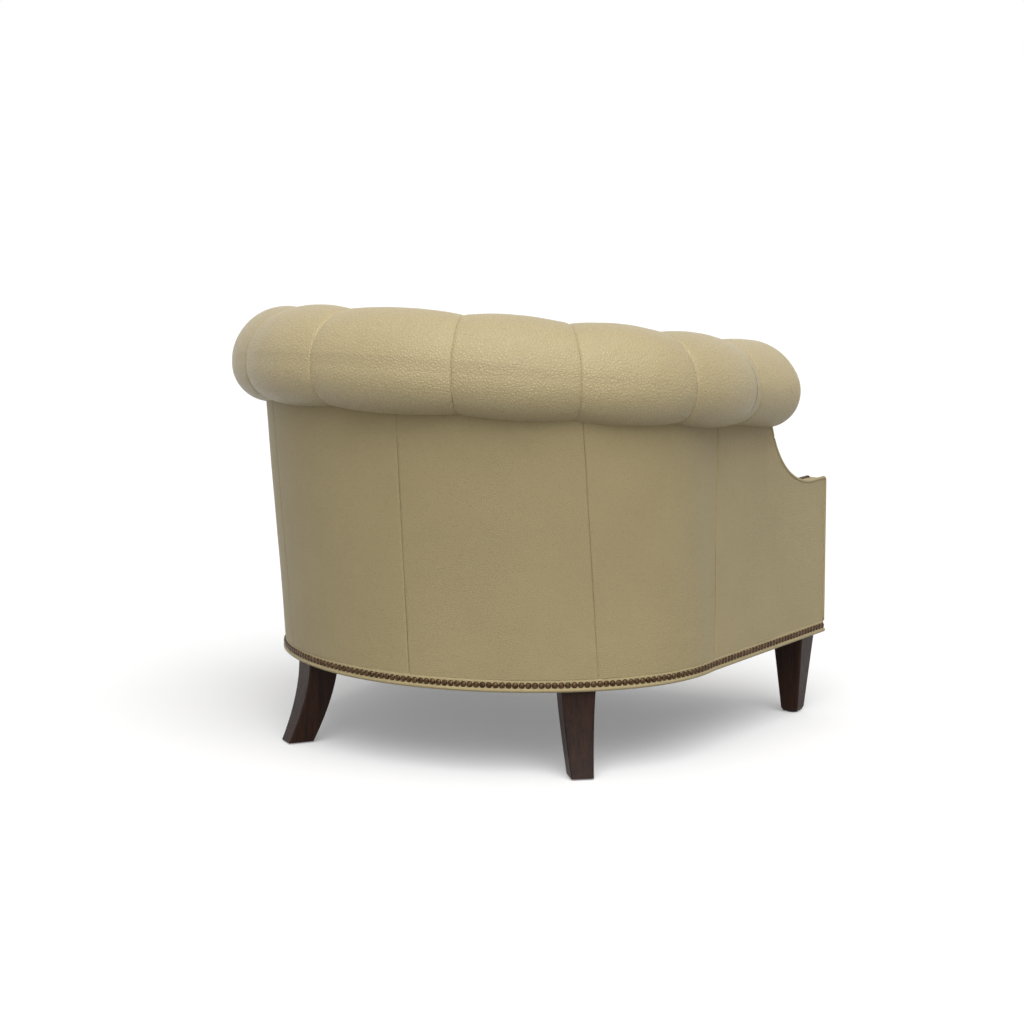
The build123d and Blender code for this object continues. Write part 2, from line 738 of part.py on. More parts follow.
def rear_leg():
    """Sabre leg: square in section, swept outward at the foot."""
    place, outward = leg_places()[1:]
    with BuildPart() as leg:
        for section in range(REAR_LEG_SECTIONS):
            share = section / (REAR_LEG_SECTIONS - 1)
            height = LEG_HEIGHT + (GLIDE_THICKNESS - LEG_HEIGHT) * share
            out = REAR_LEG_FLARE * share**REAR_LEG_SWEEP
            width = REAR_LEG_WIDTH_TOP + (REAR_LEG_WIDTH_FOOT - REAR_LEG_WIDTH_TOP) * share
            depth = REAR_LEG_DEPTH_TOP + (REAR_LEG_DEPTH_FOOT - REAR_LEG_DEPTH_TOP) * share
            reach = REAR_BOLT_OFFSET + out
            centre = (place[0] + reach * outward[0], place[1] + reach * outward[1])
            with BuildSketch(level(height)):
                with Locations(Location((centre[0], centre[1], 0), (0, 0, -REAR_LEG_TURN))):
                    RectangleRounded(width, depth, LEG_EDGE_RADIUS)
        loft()
        add(bolt_room(place), mode=Mode.SUBTRACT)
    save_pair(leg.part, "rear_leg")


def leg_fixings():
    front, rear, outward = leg_places()
    reach = REAR_BOLT_OFFSET + REAR_LEG_FLARE
    foot = (rear[0] + reach * outward[0], rear[1] + reach * outward[1])
    bolt_length = BOLT_IN_LEG + FRAME_BOTTOM - LEG_HEIGHT + INSERT_LENGTH
    bolts = []
    inserts = []
    glides = []
    for place, under in ((front, front), (rear, foot)):
        bolt = peg(place, BOLT_DIAMETER, LEG_HEIGHT - BOLT_IN_LEG, bolt_length)
        bolts.extend(both_sides(bolt.solid()))
        with BuildPart() as insert:
            add(peg(place, INSERT_DIAMETER, FRAME_BOTTOM, INSERT_LENGTH))
            add(peg(place, BOLT_DIAMETER + HOLE_CLEARANCE, FRAME_BOTTOM, INSERT_LENGTH), mode=Mode.SUBTRACT)
        inserts.extend(both_sides(insert.part.solid()))
        glides.extend(both_sides(peg(under, GLIDE_DIAMETER, 0, GLIDE_THICKNESS).solid()))
    save_group(bolts, "leg_bolts")
    save_group(inserts, "leg_inserts")
    save_group(glides, "leg_glides")


# Seat suspension

def spring_ends(x):
    """Front and back places of a spring row on the rails."""
    front = -FRONT_DEPTH + FRAME_SET_IN + FRONT_RAIL_THICKNESS / 2
    back = base_curve(-FRAME_SET_IN - BACK_RAIL_THICKNESS / 2).depth_at(abs(x) + SPRING_HALF_WAVE)
    return front, back


def seat_springs():
    height = RAIL_TOP + CLIP_RADIUS
    springs = []
    clips = []
    with BuildPart() as clip:
        with BuildSketch(Plane.YZ):
            Circle(CLIP_RADIUS)
            with Locations((0, -CLIP_RADIUS)):
                Rectangle(CLIP_FOOT_WIDTH, CLIP_FOOT_THICKNESS, align=(Align.CENTER, Align.MIN))
            Circle(SPRING_WIRE / 2 + FIT, mode=Mode.SUBTRACT)
        extrude(amount=CLIP_LENGTH / 2, both=True)
    for row in range(SPRING_ROWS):
        x = (HALF_WIDTH - SPRING_EDGE) * (2 * row / (SPRING_ROWS - 1) - 1)
        front, back = spring_ends(x)
        turns = 2 * round((back - front) / SPRING_STEP / 2)
        step = (back - front) / turns
        points = []
        for turn in range(turns + 1):
            side = SPRING_HALF_WAVE if turn % 2 == 0 else -SPRING_HALF_WAVE
            y = front + turn * step + CENTRE_SHIFT
            points.append((x - side, y, height))
            points.append((x + side, y, height))
        with BuildPart() as spring:
            with BuildLine():
                path = FilletPolyline(*points, radius=SPRING_BEND_SHARE * min(step, SPRING_HALF_WAVE * 2))
            with BuildSketch(Plane(points[0], z_dir=(1, 0, 0))):
                Circle(SPRING_WIRE / 2)
            sweep(path=path)
        springs.append(spring.part.solid())
        for y, along in ((front, -CLIP_OFFSET), (back, CLIP_OFFSET)):
            clips.append(clip.part.solid().moved(Location((x + along, y + CENTRE_SHIFT, height))))
    save_group(springs, "seat_springs")
    save_group(clips, "spring_clips")


def seat_outline(curve, side_depth, front):
    """Face inside a back curve, run forward beside the arms to a front line."""
    edge = arm_point(ARM_LENGTH, side_depth)[0]
    with BuildSketch() as face:
        with BuildLine():
            curve.draw_arcs()
            Polyline(curve.corner(0), (edge, front), (-edge, front), curve.corner(0, -1))
        make_face()
    return face.sketch


def spring_cover():
    depth = WALL_DEPTH
    front = -FRONT_DEPTH + FRAME_SET_IN
    with BuildPart() as cover:
        with BuildSketch(level(SPRING_COVER_BOTTOM)):
            add(seat_outline(base_curve(-depth), depth, front))
        extrude(amount=SPRING_COVER_THICKNESS)
    save(cover.part, "spring_cover")


def inside_wall(height):
    """Thickness of the side wall at a height, from the outer face to the inside face."""
    rise = (height - CHANNEL_BOTTOM) / (roll_height(0) - CHANNEL_BOTTOM)
    return SIDE_WALL + (CREST_SET_IN + ROLL_INNER_RADIUS - SIDE_WALL) * rise


def cushion_outline(inset):
    """T-shaped plan of the seat cushion, drawn in by inset."""
    thickest = max(inside_wall(CUSHION_BOTTOM), inside_wall(CUSHION_BOTTOM + CUSHION_HEIGHT))
    wall = thickest + CUSHION_CLEARANCE + inset
    curve = BackCurve(
        HALF_WIDTH - wall,
        TOP_BACK_DEPTH - BACK_WALL - CUSHION_CLEARANCE - inset,
        CUSHION_BACK_INSET,
    )
    ear_back = ROLL_FRONT_RUN + FACING_THICKNESS + FIT + CUSHION_CLEARANCE + inset
    ear_front = ARM_LENGTH + CUSHION_FRONT_PROUD - inset
    neck = arm_point(ear_back, wall)
    ear = ARM_THICKNESS + CUSHION_CLEARANCE + inset
    back_corner = arm_point(ear_back, ear)
    front_corner = arm_point(ear_front, ear)
    front_y = -FRONT_REACH + inset
    radius = CUSHION_CORNER - inset * CUSHION_CORNER_TIGHTENING
    with BuildSketch() as face:
        with BuildLine():
            curve.draw_arcs()
            for side in (1, -1):
                FilletPolyline(
                    (side * curve.half_width, 0),
                    (side * neck[0], neck[1]),
                    (side * back_corner[0], neck[1]),
                    (side * front_corner[0], front_y),
                    (0, front_y),
                    radius=radius,
                )
        make_face()
    return face.sketch


def seat_cushion():
    """Crowned cushion with drawn-in sides, its cover and filling as one body."""
    edge = CUSHION_EDGE
    top = CUSHION_HEIGHT - CUSHION_CROWN
    sides = ((0, edge), (edge, 0), (top / 2, CUSHION_PULL_IN), (top - edge, 0), (top, edge))
    shoulder = (top + CROWN_SHOULDER_RISE, CROWN_SHOULDER_INSET)
    crown = ((top, edge), shoulder, (CUSHION_HEIGHT, CROWN_TOP_INSET))
    with BuildPart() as cushion:
        for sections in (sides, crown):
            for height, inset in sections:
                with BuildSketch(level(CUSHION_BOTTOM + height)):
                    add(cushion_outline(inset))
            loft(ruled=True)
    save(cushion.part, "seat_cushion")


def deck_pad():
    with BuildPart() as pad:
        with BuildSketch(level(CHANNEL_BOTTOM)):
            add(cushion_outline(CUSHION_FRONT_PROUD + CUSHION_EDGE))
        extrude(amount=DECK_PAD_THICKNESS)
    save(pad.part, "deck_pad")


# Trim

def band_outline(offset):
    """Closed outline of the body's base, offset outward."""
    curve = base_curve(offset)
    side = curve.half_width
    corner = (FRONT_HALF_WIDTH + offset, -FRONT_DEPTH - offset)
    with BuildSketch() as face:
        with BuildLine():
            curve.draw(SIDE_RUN)
            Polyline((side, -SIDE_RUN), corner, (-corner[0], corner[1]), (-side, -SIDE_RUN))
        make_face()
    return face.sketch


def base_band():
    with BuildPart() as band:
        with BuildSketch(level(LEG_HEIGHT)):
            add(band_outline(0.0))
            add(band_outline(-PANEL_THICKNESS), mode=Mode.SUBTRACT)
        extrude(amount=BAND_HEIGHT)
    save(band.part, "base_band")


def dust_cover():
    with BuildPart() as cover:
        with BuildSketch(level(LEG_HEIGHT)):
            add(band_outline(-FRAME_SET_IN))
            for place in leg_places()[:2]:
                with Locations(place, (-place[0], place[1])):
                    Circle(BOLT_DIAMETER / 2 + HOLE_CLEARANCE, mode=Mode.SUBTRACT)
        extrude(amount=DUST_COVER_THICKNESS)
    save(cover.part, "dust_cover")


def front_border():
    half = arm_point(ARM_LENGTH - 2 * PANEL_THICKNESS, ARM_THICKNESS + FIT)[0]
    with BuildPart() as border:
        with BuildSketch(front_plane()):
            with Locations((0, BAND_TOP)):
                Rectangle(2 * half, DECK_TOP - BAND_TOP, align=(Align.CENTER, Align.MIN))
        extrude(amount=PANEL_THICKNESS)
    save(border.part, "front_border")


def nailhead():
    """Domed head of an upholstery nail on the XY plane."""
    ball_radius = ((NAIL_DIAMETER / 2) ** 2 + NAIL_RISE**2) / (2 * NAIL_RISE)
    with BuildPart() as nail:
        with Locations((0, 0, NAIL_RISE - ball_radius)):
            Sphere(ball_radius)
        split(bisect_by=Plane.XY, keep=Keep.TOP)
    return nail.part.solid()


def nail_at(nail, point, outward):
    """A nailhead seated on a surface point, facing outward."""
    seat = tuple(place + NAIL_SEAT * way for place, way in zip(point, outward))
    return nail.moved(Plane(seat, z_dir=outward).location)


def base_nails(nail):
    height = LEG_HEIGHT + NAIL_ABOVE_EDGE
    curve = base_curve()
    half = curve.length() + SIDE_RUN + ARM_LENGTH
    count = round(2 * (half - NAIL_DIAMETER / 2) / NAIL_PITCH)
    heads = []
    for index in range(count + 1):
        distance = (half - NAIL_DIAMETER / 2) * (2 * index / count - 1)
        point, outward = curve.station(distance)
        place = (point[0], point[1] + CENTRE_SHIFT, height)
        heads.append(nail_at(nail, place, (outward[0], outward[1], 0)))
    front = FRONT_HALF_WIDTH - NAIL_DIAMETER / 2
    count = round(2 * front / NAIL_PITCH)
    for index in range(count + 1):
        place = (front * (2 * index / count - 1), CENTRE_SHIFT - FRONT_DEPTH, height)
        heads.append(nail_at(nail, place, (0, -1, 0)))
    save_group(heads, "base_nailheads")


def arm_nails(nail):
    """Nailheads along the inner edge of an arm's top and down its front."""
    top_x, top_y = scoop_top(0.0)[0]
    centre = (-(ARM_LENGTH - SCOOP_FLAT), ARM_FRONT_HEIGHT + SCOOP_RADIUS)
    depth = ARM_THICKNESS - ARM_NAIL_FROM_EDGE
    bow = atan2(top_y - centre[1], top_x - centre[0])
    bend = SCOOP_RADIUS * (bow + pi / 2)
    flat = SCOOP_FLAT - NAIL_DIAMETER
    drop = ARM_FRONT_HEIGHT - BAND_TOP - 2 * NAIL_DIAMETER
    heads = []
    place = arm_plane(depth)
    for index in range(1, int((bend + flat) / NAIL_PITCH) + 1):
        run = index * NAIL_PITCH
        if run < bend:
            angle = bow - run / SCOOP_RADIUS
            x, y = polar(centre, SCOOP_RADIUS, angle)
            way = (-cos(angle), -sin(angle))
        else:
            x, y = centre[0] - (run - bend), ARM_FRONT_HEIGHT
            way = (0, 1)
        outward = place.x_dir * way[0] + place.y_dir * way[1]
        heads.append(nail_at(nail, tuple(place.from_local_coords((x, y, 0))), tuple(outward)))
    x = arm_point(ARM_LENGTH, depth)[0]
    for index in range(int(drop / NAIL_PITCH) + 1):
        height = ARM_FRONT_HEIGHT - NAIL_DIAMETER - index * NAIL_PITCH
        heads.append(nail_at(nail, (x, CENTRE_SHIFT - FRONT_DEPTH, height), (0, -1, 0)))
    save_group(heads, "arm_nailheads_left")
    twins = [twin for head in heads for twin in mirrored(head).solids()]
    save_group(twins, "arm_nailheads_right")


os.makedirs("parts", exist_ok=True)
outside_panels()
outside_arm()
arm_board()
arm_cover()
channels()
roll_facing()
back_rail()
top_rail()
posts_and_webbing()
side_rail()
front_rail()
corner_gusset()
rear_leg_block()
front_leg()
rear_leg()
leg_fixings()
seat_springs()
spring_cover()
deck_pad()
seat_cushion()
base_band()
dust_cover()
front_border()
base_nails(nailhead())
arm_nails(nailhead())
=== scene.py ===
import json
from math import acos, atan2, cos, exp, hypot, pi, radians, sin, sqrt

import bmesh
import bpy
from mathutils import Matrix, Vector, noise
from mathutils.bvhtree import BVHTree


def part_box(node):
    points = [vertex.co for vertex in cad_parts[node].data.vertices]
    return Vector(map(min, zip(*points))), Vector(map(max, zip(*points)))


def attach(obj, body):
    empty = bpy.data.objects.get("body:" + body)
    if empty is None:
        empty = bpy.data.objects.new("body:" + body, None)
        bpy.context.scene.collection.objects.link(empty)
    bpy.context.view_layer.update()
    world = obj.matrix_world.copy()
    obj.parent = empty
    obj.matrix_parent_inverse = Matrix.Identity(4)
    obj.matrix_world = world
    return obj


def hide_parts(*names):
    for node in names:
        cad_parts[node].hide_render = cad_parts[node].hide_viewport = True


# A leather tub chair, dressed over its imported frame. Sizes are in metres and repeat the frame's own.

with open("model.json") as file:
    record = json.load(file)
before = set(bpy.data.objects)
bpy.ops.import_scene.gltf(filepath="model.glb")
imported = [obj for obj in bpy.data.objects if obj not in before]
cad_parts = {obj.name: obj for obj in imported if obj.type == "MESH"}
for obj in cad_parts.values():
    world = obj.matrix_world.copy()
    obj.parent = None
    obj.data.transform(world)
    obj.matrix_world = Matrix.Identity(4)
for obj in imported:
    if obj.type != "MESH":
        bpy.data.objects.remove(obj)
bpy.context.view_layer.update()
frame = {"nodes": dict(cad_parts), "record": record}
NODES = frame["nodes"]
CHAIR = "chair"
CUSHION = "cushion"

# Body outline
LEG_HEIGHT = 0.150
HALF_WIDTH = 0.416
FRONT_HALF_WIDTH = 0.450
FRONT_DEPTH = 0.445
SIDE_RUN = 0.026
BASE_BACK_DEPTH = 0.345
TOP_BACK_DEPTH = 0.388
BASE_CORNER_INSET = 0.055
TOP_CORNER_INSET = 0.016
WALL_TOP_STRAIGHT = 0.050
CENTRE_SHIFT = -0.007
PANEL_THICKNESS = 0.004
QUARTER_SEAM_X = 0.3095
BAND_TOP = 0.172

# Roll
ROLL_BACK_HEIGHT = 0.705
ROLL_SLOPE = 0.115
ROLL_OUTER_RADIUS = 0.070
ROLL_UNDERSIDE = 0.069
ROLL_OVERHANG = 0.079
ROLL_RISE = 0.0943
CREST_SLOPE = 0.036
CREST_SET_IN = 0.020
ROLL_INNER_RADIUS = 0.078
ROLL_FRONT_RUN = 0.192
CENTRE_CHANNEL = 0.240
END_CHANNEL = 0.158
SIDE_CHANNELS = 3
END_SINK = 0.034
END_ROUNDING = 0.040
SIDE_WALL = 0.124
BACK_WALL = 0.235
WALL_DEPTH = 0.0506
CHANNEL_BOTTOM = 0.2943
WALL_TOP = ROLL_BACK_HEIGHT - ROLL_UNDERSIDE
FACING_THICKNESS = 0.005
FACING_HUB = Vector((-0.040, -0.050))
FACING_SIZES = (1.0, 0.992, 0.96, 0.88, 0.7, 0.45, 0.2, 0.02)
FACING_FULLNESS = 14
FIT = 0.0003

# Sewn channels: a broad swell between seams and a tight crease at each
SWELL = 0.0068
CREASE = 0.0020
CREASE_WIDTH = 0.0022
PUCKER = 0.0008
PUCKER_REACH = 0.014
PUCKER_SCALE = 55

# Unevenness of hand upholstery: pairs of noise scale and depth
ROLL_WAVES = ((8, 0.0012), (30, 0.0004))
FACING_WAVES = ((14, 0.0006),)
WALL_WAVES = ((5, 0.0010), (17, 0.0003))
ARM_WAVES = ((5, 0.0009), (17, 0.0003))
ARM_PAD_WAVES = ((16, 0.0008),)
CUSHION_WAVES = ((7, 0.0022), (26, 0.0006))
BORDER_WAVES = ((9, 0.0006),)
DECK_WAVES = ((12, 0.0004),)

# Fineness of the meshes, in steps
INSIDE_BACK_STEPS = 22
CREST_STEPS = 26
ROLL_OUTSIDE_STEPS = 44
CHANNEL_STEPS = 46
PANEL_COLUMNS = 70
PANEL_ROWS = 56
ARM_ROWS = 50
ARM_SLOPE_STEPS = 30
SCOOP_STEPS = 44
ARM_FLAT_STEPS = 14
EDGE_CORNER_STEPS = 6
ARM_FRONT_STEPS = 30
SEAM_LEVELS = 40
STITCH_LEVELS = 60
CUSHION_BACK_STEPS = 60
HALVINGS = 40

# Arms
ARM_FRONT_HEIGHT = 0.445
ARM_THICKNESS = 0.038
SCOOP_RADIUS = 0.17325
SCOOP_FLAT = 0.052
ARM_PAD_ROUNDING = 0.006
ARM_PAD_VOXEL = 0.0028
ARM_PAD_SMOOTHING = 6
ARM_PAD_GAP = 0.0005
ARM_ANGLE = atan2(FRONT_HALF_WIDTH - HALF_WIDTH, FRONT_DEPTH - SIDE_RUN)
ARM_LENGTH = hypot(FRONT_HALF_WIDTH - HALF_WIDTH, FRONT_DEPTH - SIDE_RUN)
ARM_FORWARD = Vector((sin(ARM_ANGLE), -cos(ARM_ANGLE), 0))
ARM_OUTWARD = Vector((cos(ARM_ANGLE), sin(ARM_ANGLE), 0))
UP = Vector((0, 0, 1))

# Trim
NAIL_RADIUS = 0.0056
NAIL_RISE = 0.0036
NAIL_PITCH = 0.0114
NAIL_FLATNESS = 0.85
NAIL_SIDES = 14
NAIL_RINGS = 6
NAIL_SWAY = 0.10
SWAY_SCALES = (1.7, 2.3, 3.1)
NAIL_HEIGHT = LEG_HEIGHT + 0.0125
ARM_NAIL_FROM_EDGE = 0.009
TUCK_UNDER_ROLL = 0.010
LIP_RADIUS = 0.0038
LIP_TURNS = [radians(turn) for turn in range(80, -91, -17)]
LIP_SEAM = LEG_HEIGHT + 0.011
LIP_SEAM_DEPTH = 0.0002
BAND_FOLD = 0.005
BAND_STEP = 0.008
TUCK = 0.0017
TUCK_WIDTH = 0.0012
EDGE_ROLL = 0.0032
EDGE_DEPTH = 0.0015
EDGE_CORNER = 0.006
STITCH_LENGTH = 0.0034
STITCH_PITCH = 0.0052
STITCH_RADIUS = 0.00045
STITCH_SET_IN = 0.0012
STITCH_RUN = 0.42
# Shares of a stitch's length, with the height of the thread over the leather
STITCH_SHAPE = ((-0.5, -0.0009), (-0.3, -0.0001), (0.0, 0.0001), (0.3, -0.0001), (0.5, -0.0009))

# Seat
CUSHION_CORNER = 0.026
CUSHION_WELT = 0.0042
CUSHION_WALL = 0.1263
CUSHION_BACK_INSET = 0.040
CUSHION_FACING_GAP = 0.0033
CUSHION_ARM_GAP = 0.003
CUSHION_VOXEL = 0.006
CUSHION_SMOOTHING = 6
CUSHION_PRESSURE = 4.0
CLOTH_FRAMES = 20
MOST_SIDE_SWELL = 0.002
MOST_CROWN_DROP = 0.001
MOST_CROWN_RISE = 0.010
TOP_WELT_DROP = 0.0310
BOTTOM_WELT_RISE = 0.0085
WELT_SMOOTHING = 3
BORDER_ROUNDING = 0.0015
BORDER_VOXEL = 0.0022
DECK_INSET = 0.018
DECK_ROUNDING = 0.003
DECK_VOXEL = 0.004
FLAT_SMOOTHING = 2


class BackCurve:
    """The rounded back from above: two corner arcs and a back arc, tangent to each other."""

    def __init__(self, half_width, back_depth, corner_inset, straight=0.0):
        self.half_width = half_width
        self.back_depth = back_depth
        self.straight = straight
        self.corner_radius = min(half_width, back_depth - straight) - corner_inset
        self.corner_x = half_width - self.corner_radius
        rise = back_depth - straight - self.corner_radius
        spread = (self.corner_x**2 + rise**2) / (2 * rise)
        self.back_radius = self.corner_radius + spread
        self.turn = acos(self.corner_x / spread)

    def corner(self, angle):
        x = self.corner_x + self.corner_radius * cos(angle)
        return Vector((x, self.straight + self.corner_radius * sin(angle), 0))

    def back(self, angle):
        y = self.back_depth - self.back_radius + self.back_radius * sin(angle)
        return Vector((self.back_radius * cos(angle), y, 0))

    def back_length(self):
        return self.back_radius * (pi / 2 - self.turn)

    def length(self):
        return self.back_length() + self.corner_radius * self.turn

    def station(self, distance):
        """Plan point and outward direction at a distance along the curve from the back's middle."""
        side = 1 if distance >= 0 else -1
        run = abs(distance)
        if run <= self.back_length():
            angle = pi / 2 - run / self.back_radius
            point = self.back(angle)
        elif run <= self.length():
            angle = self.turn - (run - self.back_length()) / self.corner_radius
            point = self.corner(angle)
        elif run <= self.length() + SIDE_RUN:
            angle = 0.0
            point = Vector((self.half_width, self.length() - run, 0))
        else:
            angle = ARM_ANGLE
            point = Vector((self.half_width, -SIDE_RUN, 0))
            point += (run - self.length() - SIDE_RUN) * ARM_FORWARD
        return Vector((side * point.x, point.y, 0)), Vector((side * cos(angle), sin(angle), 0))


BASE_CURVE = BackCurve(HALF_WIDTH, BASE_BACK_DEPTH, BASE_CORNER_INSET)
TOP_CURVE = BackCurve(HALF_WIDTH, TOP_BACK_DEPTH, TOP_CORNER_INSET)
WALL_CURVE = BackCurve(HALF_WIDTH, TOP_BACK_DEPTH, TOP_CORNER_INSET, WALL_TOP_STRAIGHT)
ROLL_END = TOP_CURVE.length() + SIDE_RUN + ROLL_FRONT_RUN
SIDE_CHANNEL = (ROLL_END - CENTRE_CHANNEL / 2 - END_CHANNEL) / SIDE_CHANNELS
SHIFT = Vector((0, CENTRE_SHIFT, 0))


def roll_height(y):
    """Height of the roll's centre, which falls towards the front."""
    return ROLL_BACK_HEIGHT - ROLL_SLOPE * (TOP_BACK_DEPTH - y)


def under_roll(y):
    return roll_height(y) - ROLL_UNDERSIDE - FIT


def shares(count):
    """Even steps from 0 to 1."""
    return [index / count for index in range(count + 1)]


def eased(count):
    """Steps from 0 to 1 that crowd together at both ends."""
    return [(1 - cos(pi * share)) / 2 for share in shares(count)]


def polar(centre, radius, angle):
    return Vector((centre[0] + radius * cos(angle), centre[1] + radius * sin(angle)))


def lumps(point, waves):
    """Soft unevenness at a point, from pairs of noise scale and depth."""
    return sum(depth * noise.noise(point * scale) for scale, depth in waves)


def crossing(low, high, before):
    """Where a test turns from true to false between two values, found by halving."""
    for _ in range(HALVINGS):
        middle = (low + high) / 2
        if before(middle):
            low = middle
        else:
            high = middle
    return low


# Mesh helpers

# Share of a tube's way that goes up, over which the tube counts as upright
STEEP = 0.9


def grid_faces(rows, columns, wrap=False, loop=False):
    """Quads over a grid of points stored row by row; wrap joins the row ends, loop the first and last row."""
    faces = []
    for row in range(rows if loop else rows - 1):
        for column in range(columns if wrap else columns - 1):
            beside = (column + 1) % columns
            here = row * columns
            above = (row + 1) % rows * columns
            faces.append((here + column, here + beside, above + beside, above + column))
    return faces


def new_piece(name, points, faces):
    mesh = bpy.data.meshes.new(name)
    mesh.from_pydata(points, [], faces)
    piece = bpy.data.objects.new(name, mesh)
    bpy.context.scene.collection.objects.link(piece)
    tidy_normals(mesh)
    return piece


def tidy_normals(mesh):
    shape = bmesh.new()
    shape.from_mesh(mesh)
    bmesh.ops.recalc_face_normals(shape, faces=shape.faces)
    shape.to_mesh(mesh)
    shape.free()
    mesh.polygons.foreach_set("use_smooth", [True] * len(mesh.polygons))


def dress(piece, slot, *nodes, body=CHAIR, material=None):
    """Gives a piece its material and body, and hides the nodes that it stands for."""
    piece.data.materials.clear()
    piece.data.materials.append(material or MATERIALS[slot])
    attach(piece, body)
    if nodes:
        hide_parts(*nodes)


def apply_modifiers(piece):
    """Turns a piece's modifiers into its own mesh."""
    bpy.context.view_layer.update()
    shape = piece.evaluated_get(bpy.context.evaluated_depsgraph_get())
    mesh = bpy.data.meshes.new_from_object(shape)
    piece.modifiers.clear()
    piece.data = mesh
    mesh.polygons.foreach_set("use_smooth", [True] * len(mesh.polygons))


def soften(piece, voxel, smoothing):
    """Rounds a closed mesh off as padding does."""
    remesh = piece.modifiers.new("remesh", "REMESH")
    remesh.mode = "VOXEL"
    remesh.voxel_size = voxel
    smooth = piece.modifiers.new("smooth", "SMOOTH")
    smooth.iterations = smoothing
    smooth.factor = 0.5
    apply_modifiers(piece)


def unevenness(piece, waves):
    """Moves each point along its normal by soft noise."""
    vertices = piece.data.vertices
    normals = [vertex.normal.copy() for vertex in vertices]
    for vertex, normal in zip(vertices, normals):
        vertex.co += normal * lumps(vertex.co, waves)


def mirrored_points(points):
    return [Vector((-point.x, point.y, point.z)) for point in points]


def both_sides(points):
    """Points of a piece on the left, and mirrored for the right."""
    return ("left", points), ("right", mirrored_points(points))


def tube(points, radius, closed=False, sides=8):
    """Points and faces of a round tube along a line of points."""
    rings = []
    count = len(points)
    for index, point in enumerate(points):
        ahead = points[(index + 1) % count] if closed or index < count - 1 else point
        behind = points[index - 1] if closed or index > 0 else point
        along = (ahead - behind).normalized()
        across = along.cross(UP if abs(along.z) < STEEP else Vector((1, 0, 0))).normalized()
        lift = across.cross(along)
        for side in range(sides):
            angle = 2 * pi * side / sides
            rings.append(point + radius * (cos(angle) * across + sin(angle) * lift))
    faces = grid_faces(count, sides, wrap=True, loop=closed)
    if not closed:
        faces.append(tuple(range(sides)))
        faces.append(tuple((count - 1) * sides + side for side in range(sides)))
    return rings, faces


def joined(parts):
    """Several (points, faces) pairs as one."""
    points = []
    faces = []
    for part_points, part_faces in parts:
        start = len(points)
        points.extend(part_points)
        faces.extend(tuple(start + index for index in face) for face in part_faces)
    return points, faces


# Materials

class Finish:
    """A node material in the making."""

    def __init__(self, name):
        self.material = bpy.data.materials.new(name)
        self.material.use_nodes = True
        self.tree = self.material.node_tree
        self.shader = self.tree.nodes["Principled BSDF"]
        self.place = self.add("ShaderNodeTexCoord", {}).outputs["Object"]

    def feed(self, socket, value):
        """Links an output to a socket, or sets the socket's own value."""
        if hasattr(value, "is_output"):
            self.tree.links.new(value, socket)
        else:
            socket.default_value = value

    def add(self, kind, inputs, **settings):
        """A new node with its settings made and its inputs fed."""
        node = self.tree.nodes.new(kind)
        for name, value in settings.items():
            setattr(node, name, value)
        for name, value in inputs.items():
            self.feed(node.inputs[name], value)
        return node

    def set(self, **values):
        """Feeds inputs of the shader."""
        for name, value in values.items():
            self.feed(self.shader.inputs[name.replace("_", " ")], value)

    def stretch(self, scale):
        return self.add("ShaderNodeMapping", {"Vector": self.place, "Scale": scale}).outputs["Vector"]

    def noise(self, scale, detail=4.0, place=None, roughness=0.55):
        inputs = {"Vector": place or self.place, "Scale": scale, "Detail": detail, "Roughness": roughness}
        return self.add("ShaderNodeTexNoise", inputs).outputs["Fac"]

    def cells(self, scale, feature, place):
        inputs = {"Vector": place, "Scale": scale}
        return self.add("ShaderNodeTexVoronoi", inputs, feature=feature).outputs["Distance"]

    def spread(self, value, low, high, new_low, new_high):
        inputs = {"Value": value, "From Min": low, "From Max": high, "To Min": new_low, "To Max": new_high}
        return self.add("ShaderNodeMapRange", inputs).outputs["Result"]

    def math(self, operation, first, second):
        node = self.add("ShaderNodeMath", {}, operation=operation)
        for socket, value in zip(node.inputs, (first, second)):
            self.feed(socket, value)
        return node.outputs["Value"]

    def ramp(self, value, *stops):
        node = self.add("ShaderNodeValToRGB", {"Fac": value})
        elements = node.color_ramp.elements
        while len(elements) < len(stops):
            elements.new(0.5)
        for element, (position, colour) in zip(elements, stops):
            element.position = position
            element.color = (*colour, 1)
        return node.outputs["Color"]

    def mix(self, amount, first, second, data="RGBA", blend="MIX"):
        inputs = {"Factor": amount, "A": first, "B": second}
        return self.add("ShaderNodeMix", inputs, data_type=data, blend_type=blend).outputs["Result"]

    def bump(self, height, distance, strength):
        return self.add("ShaderNodeBump", {"Height": height, "Distance": distance, "Strength": strength})


def scaled(colour, factor):
    return tuple(channel * factor for channel in colour)


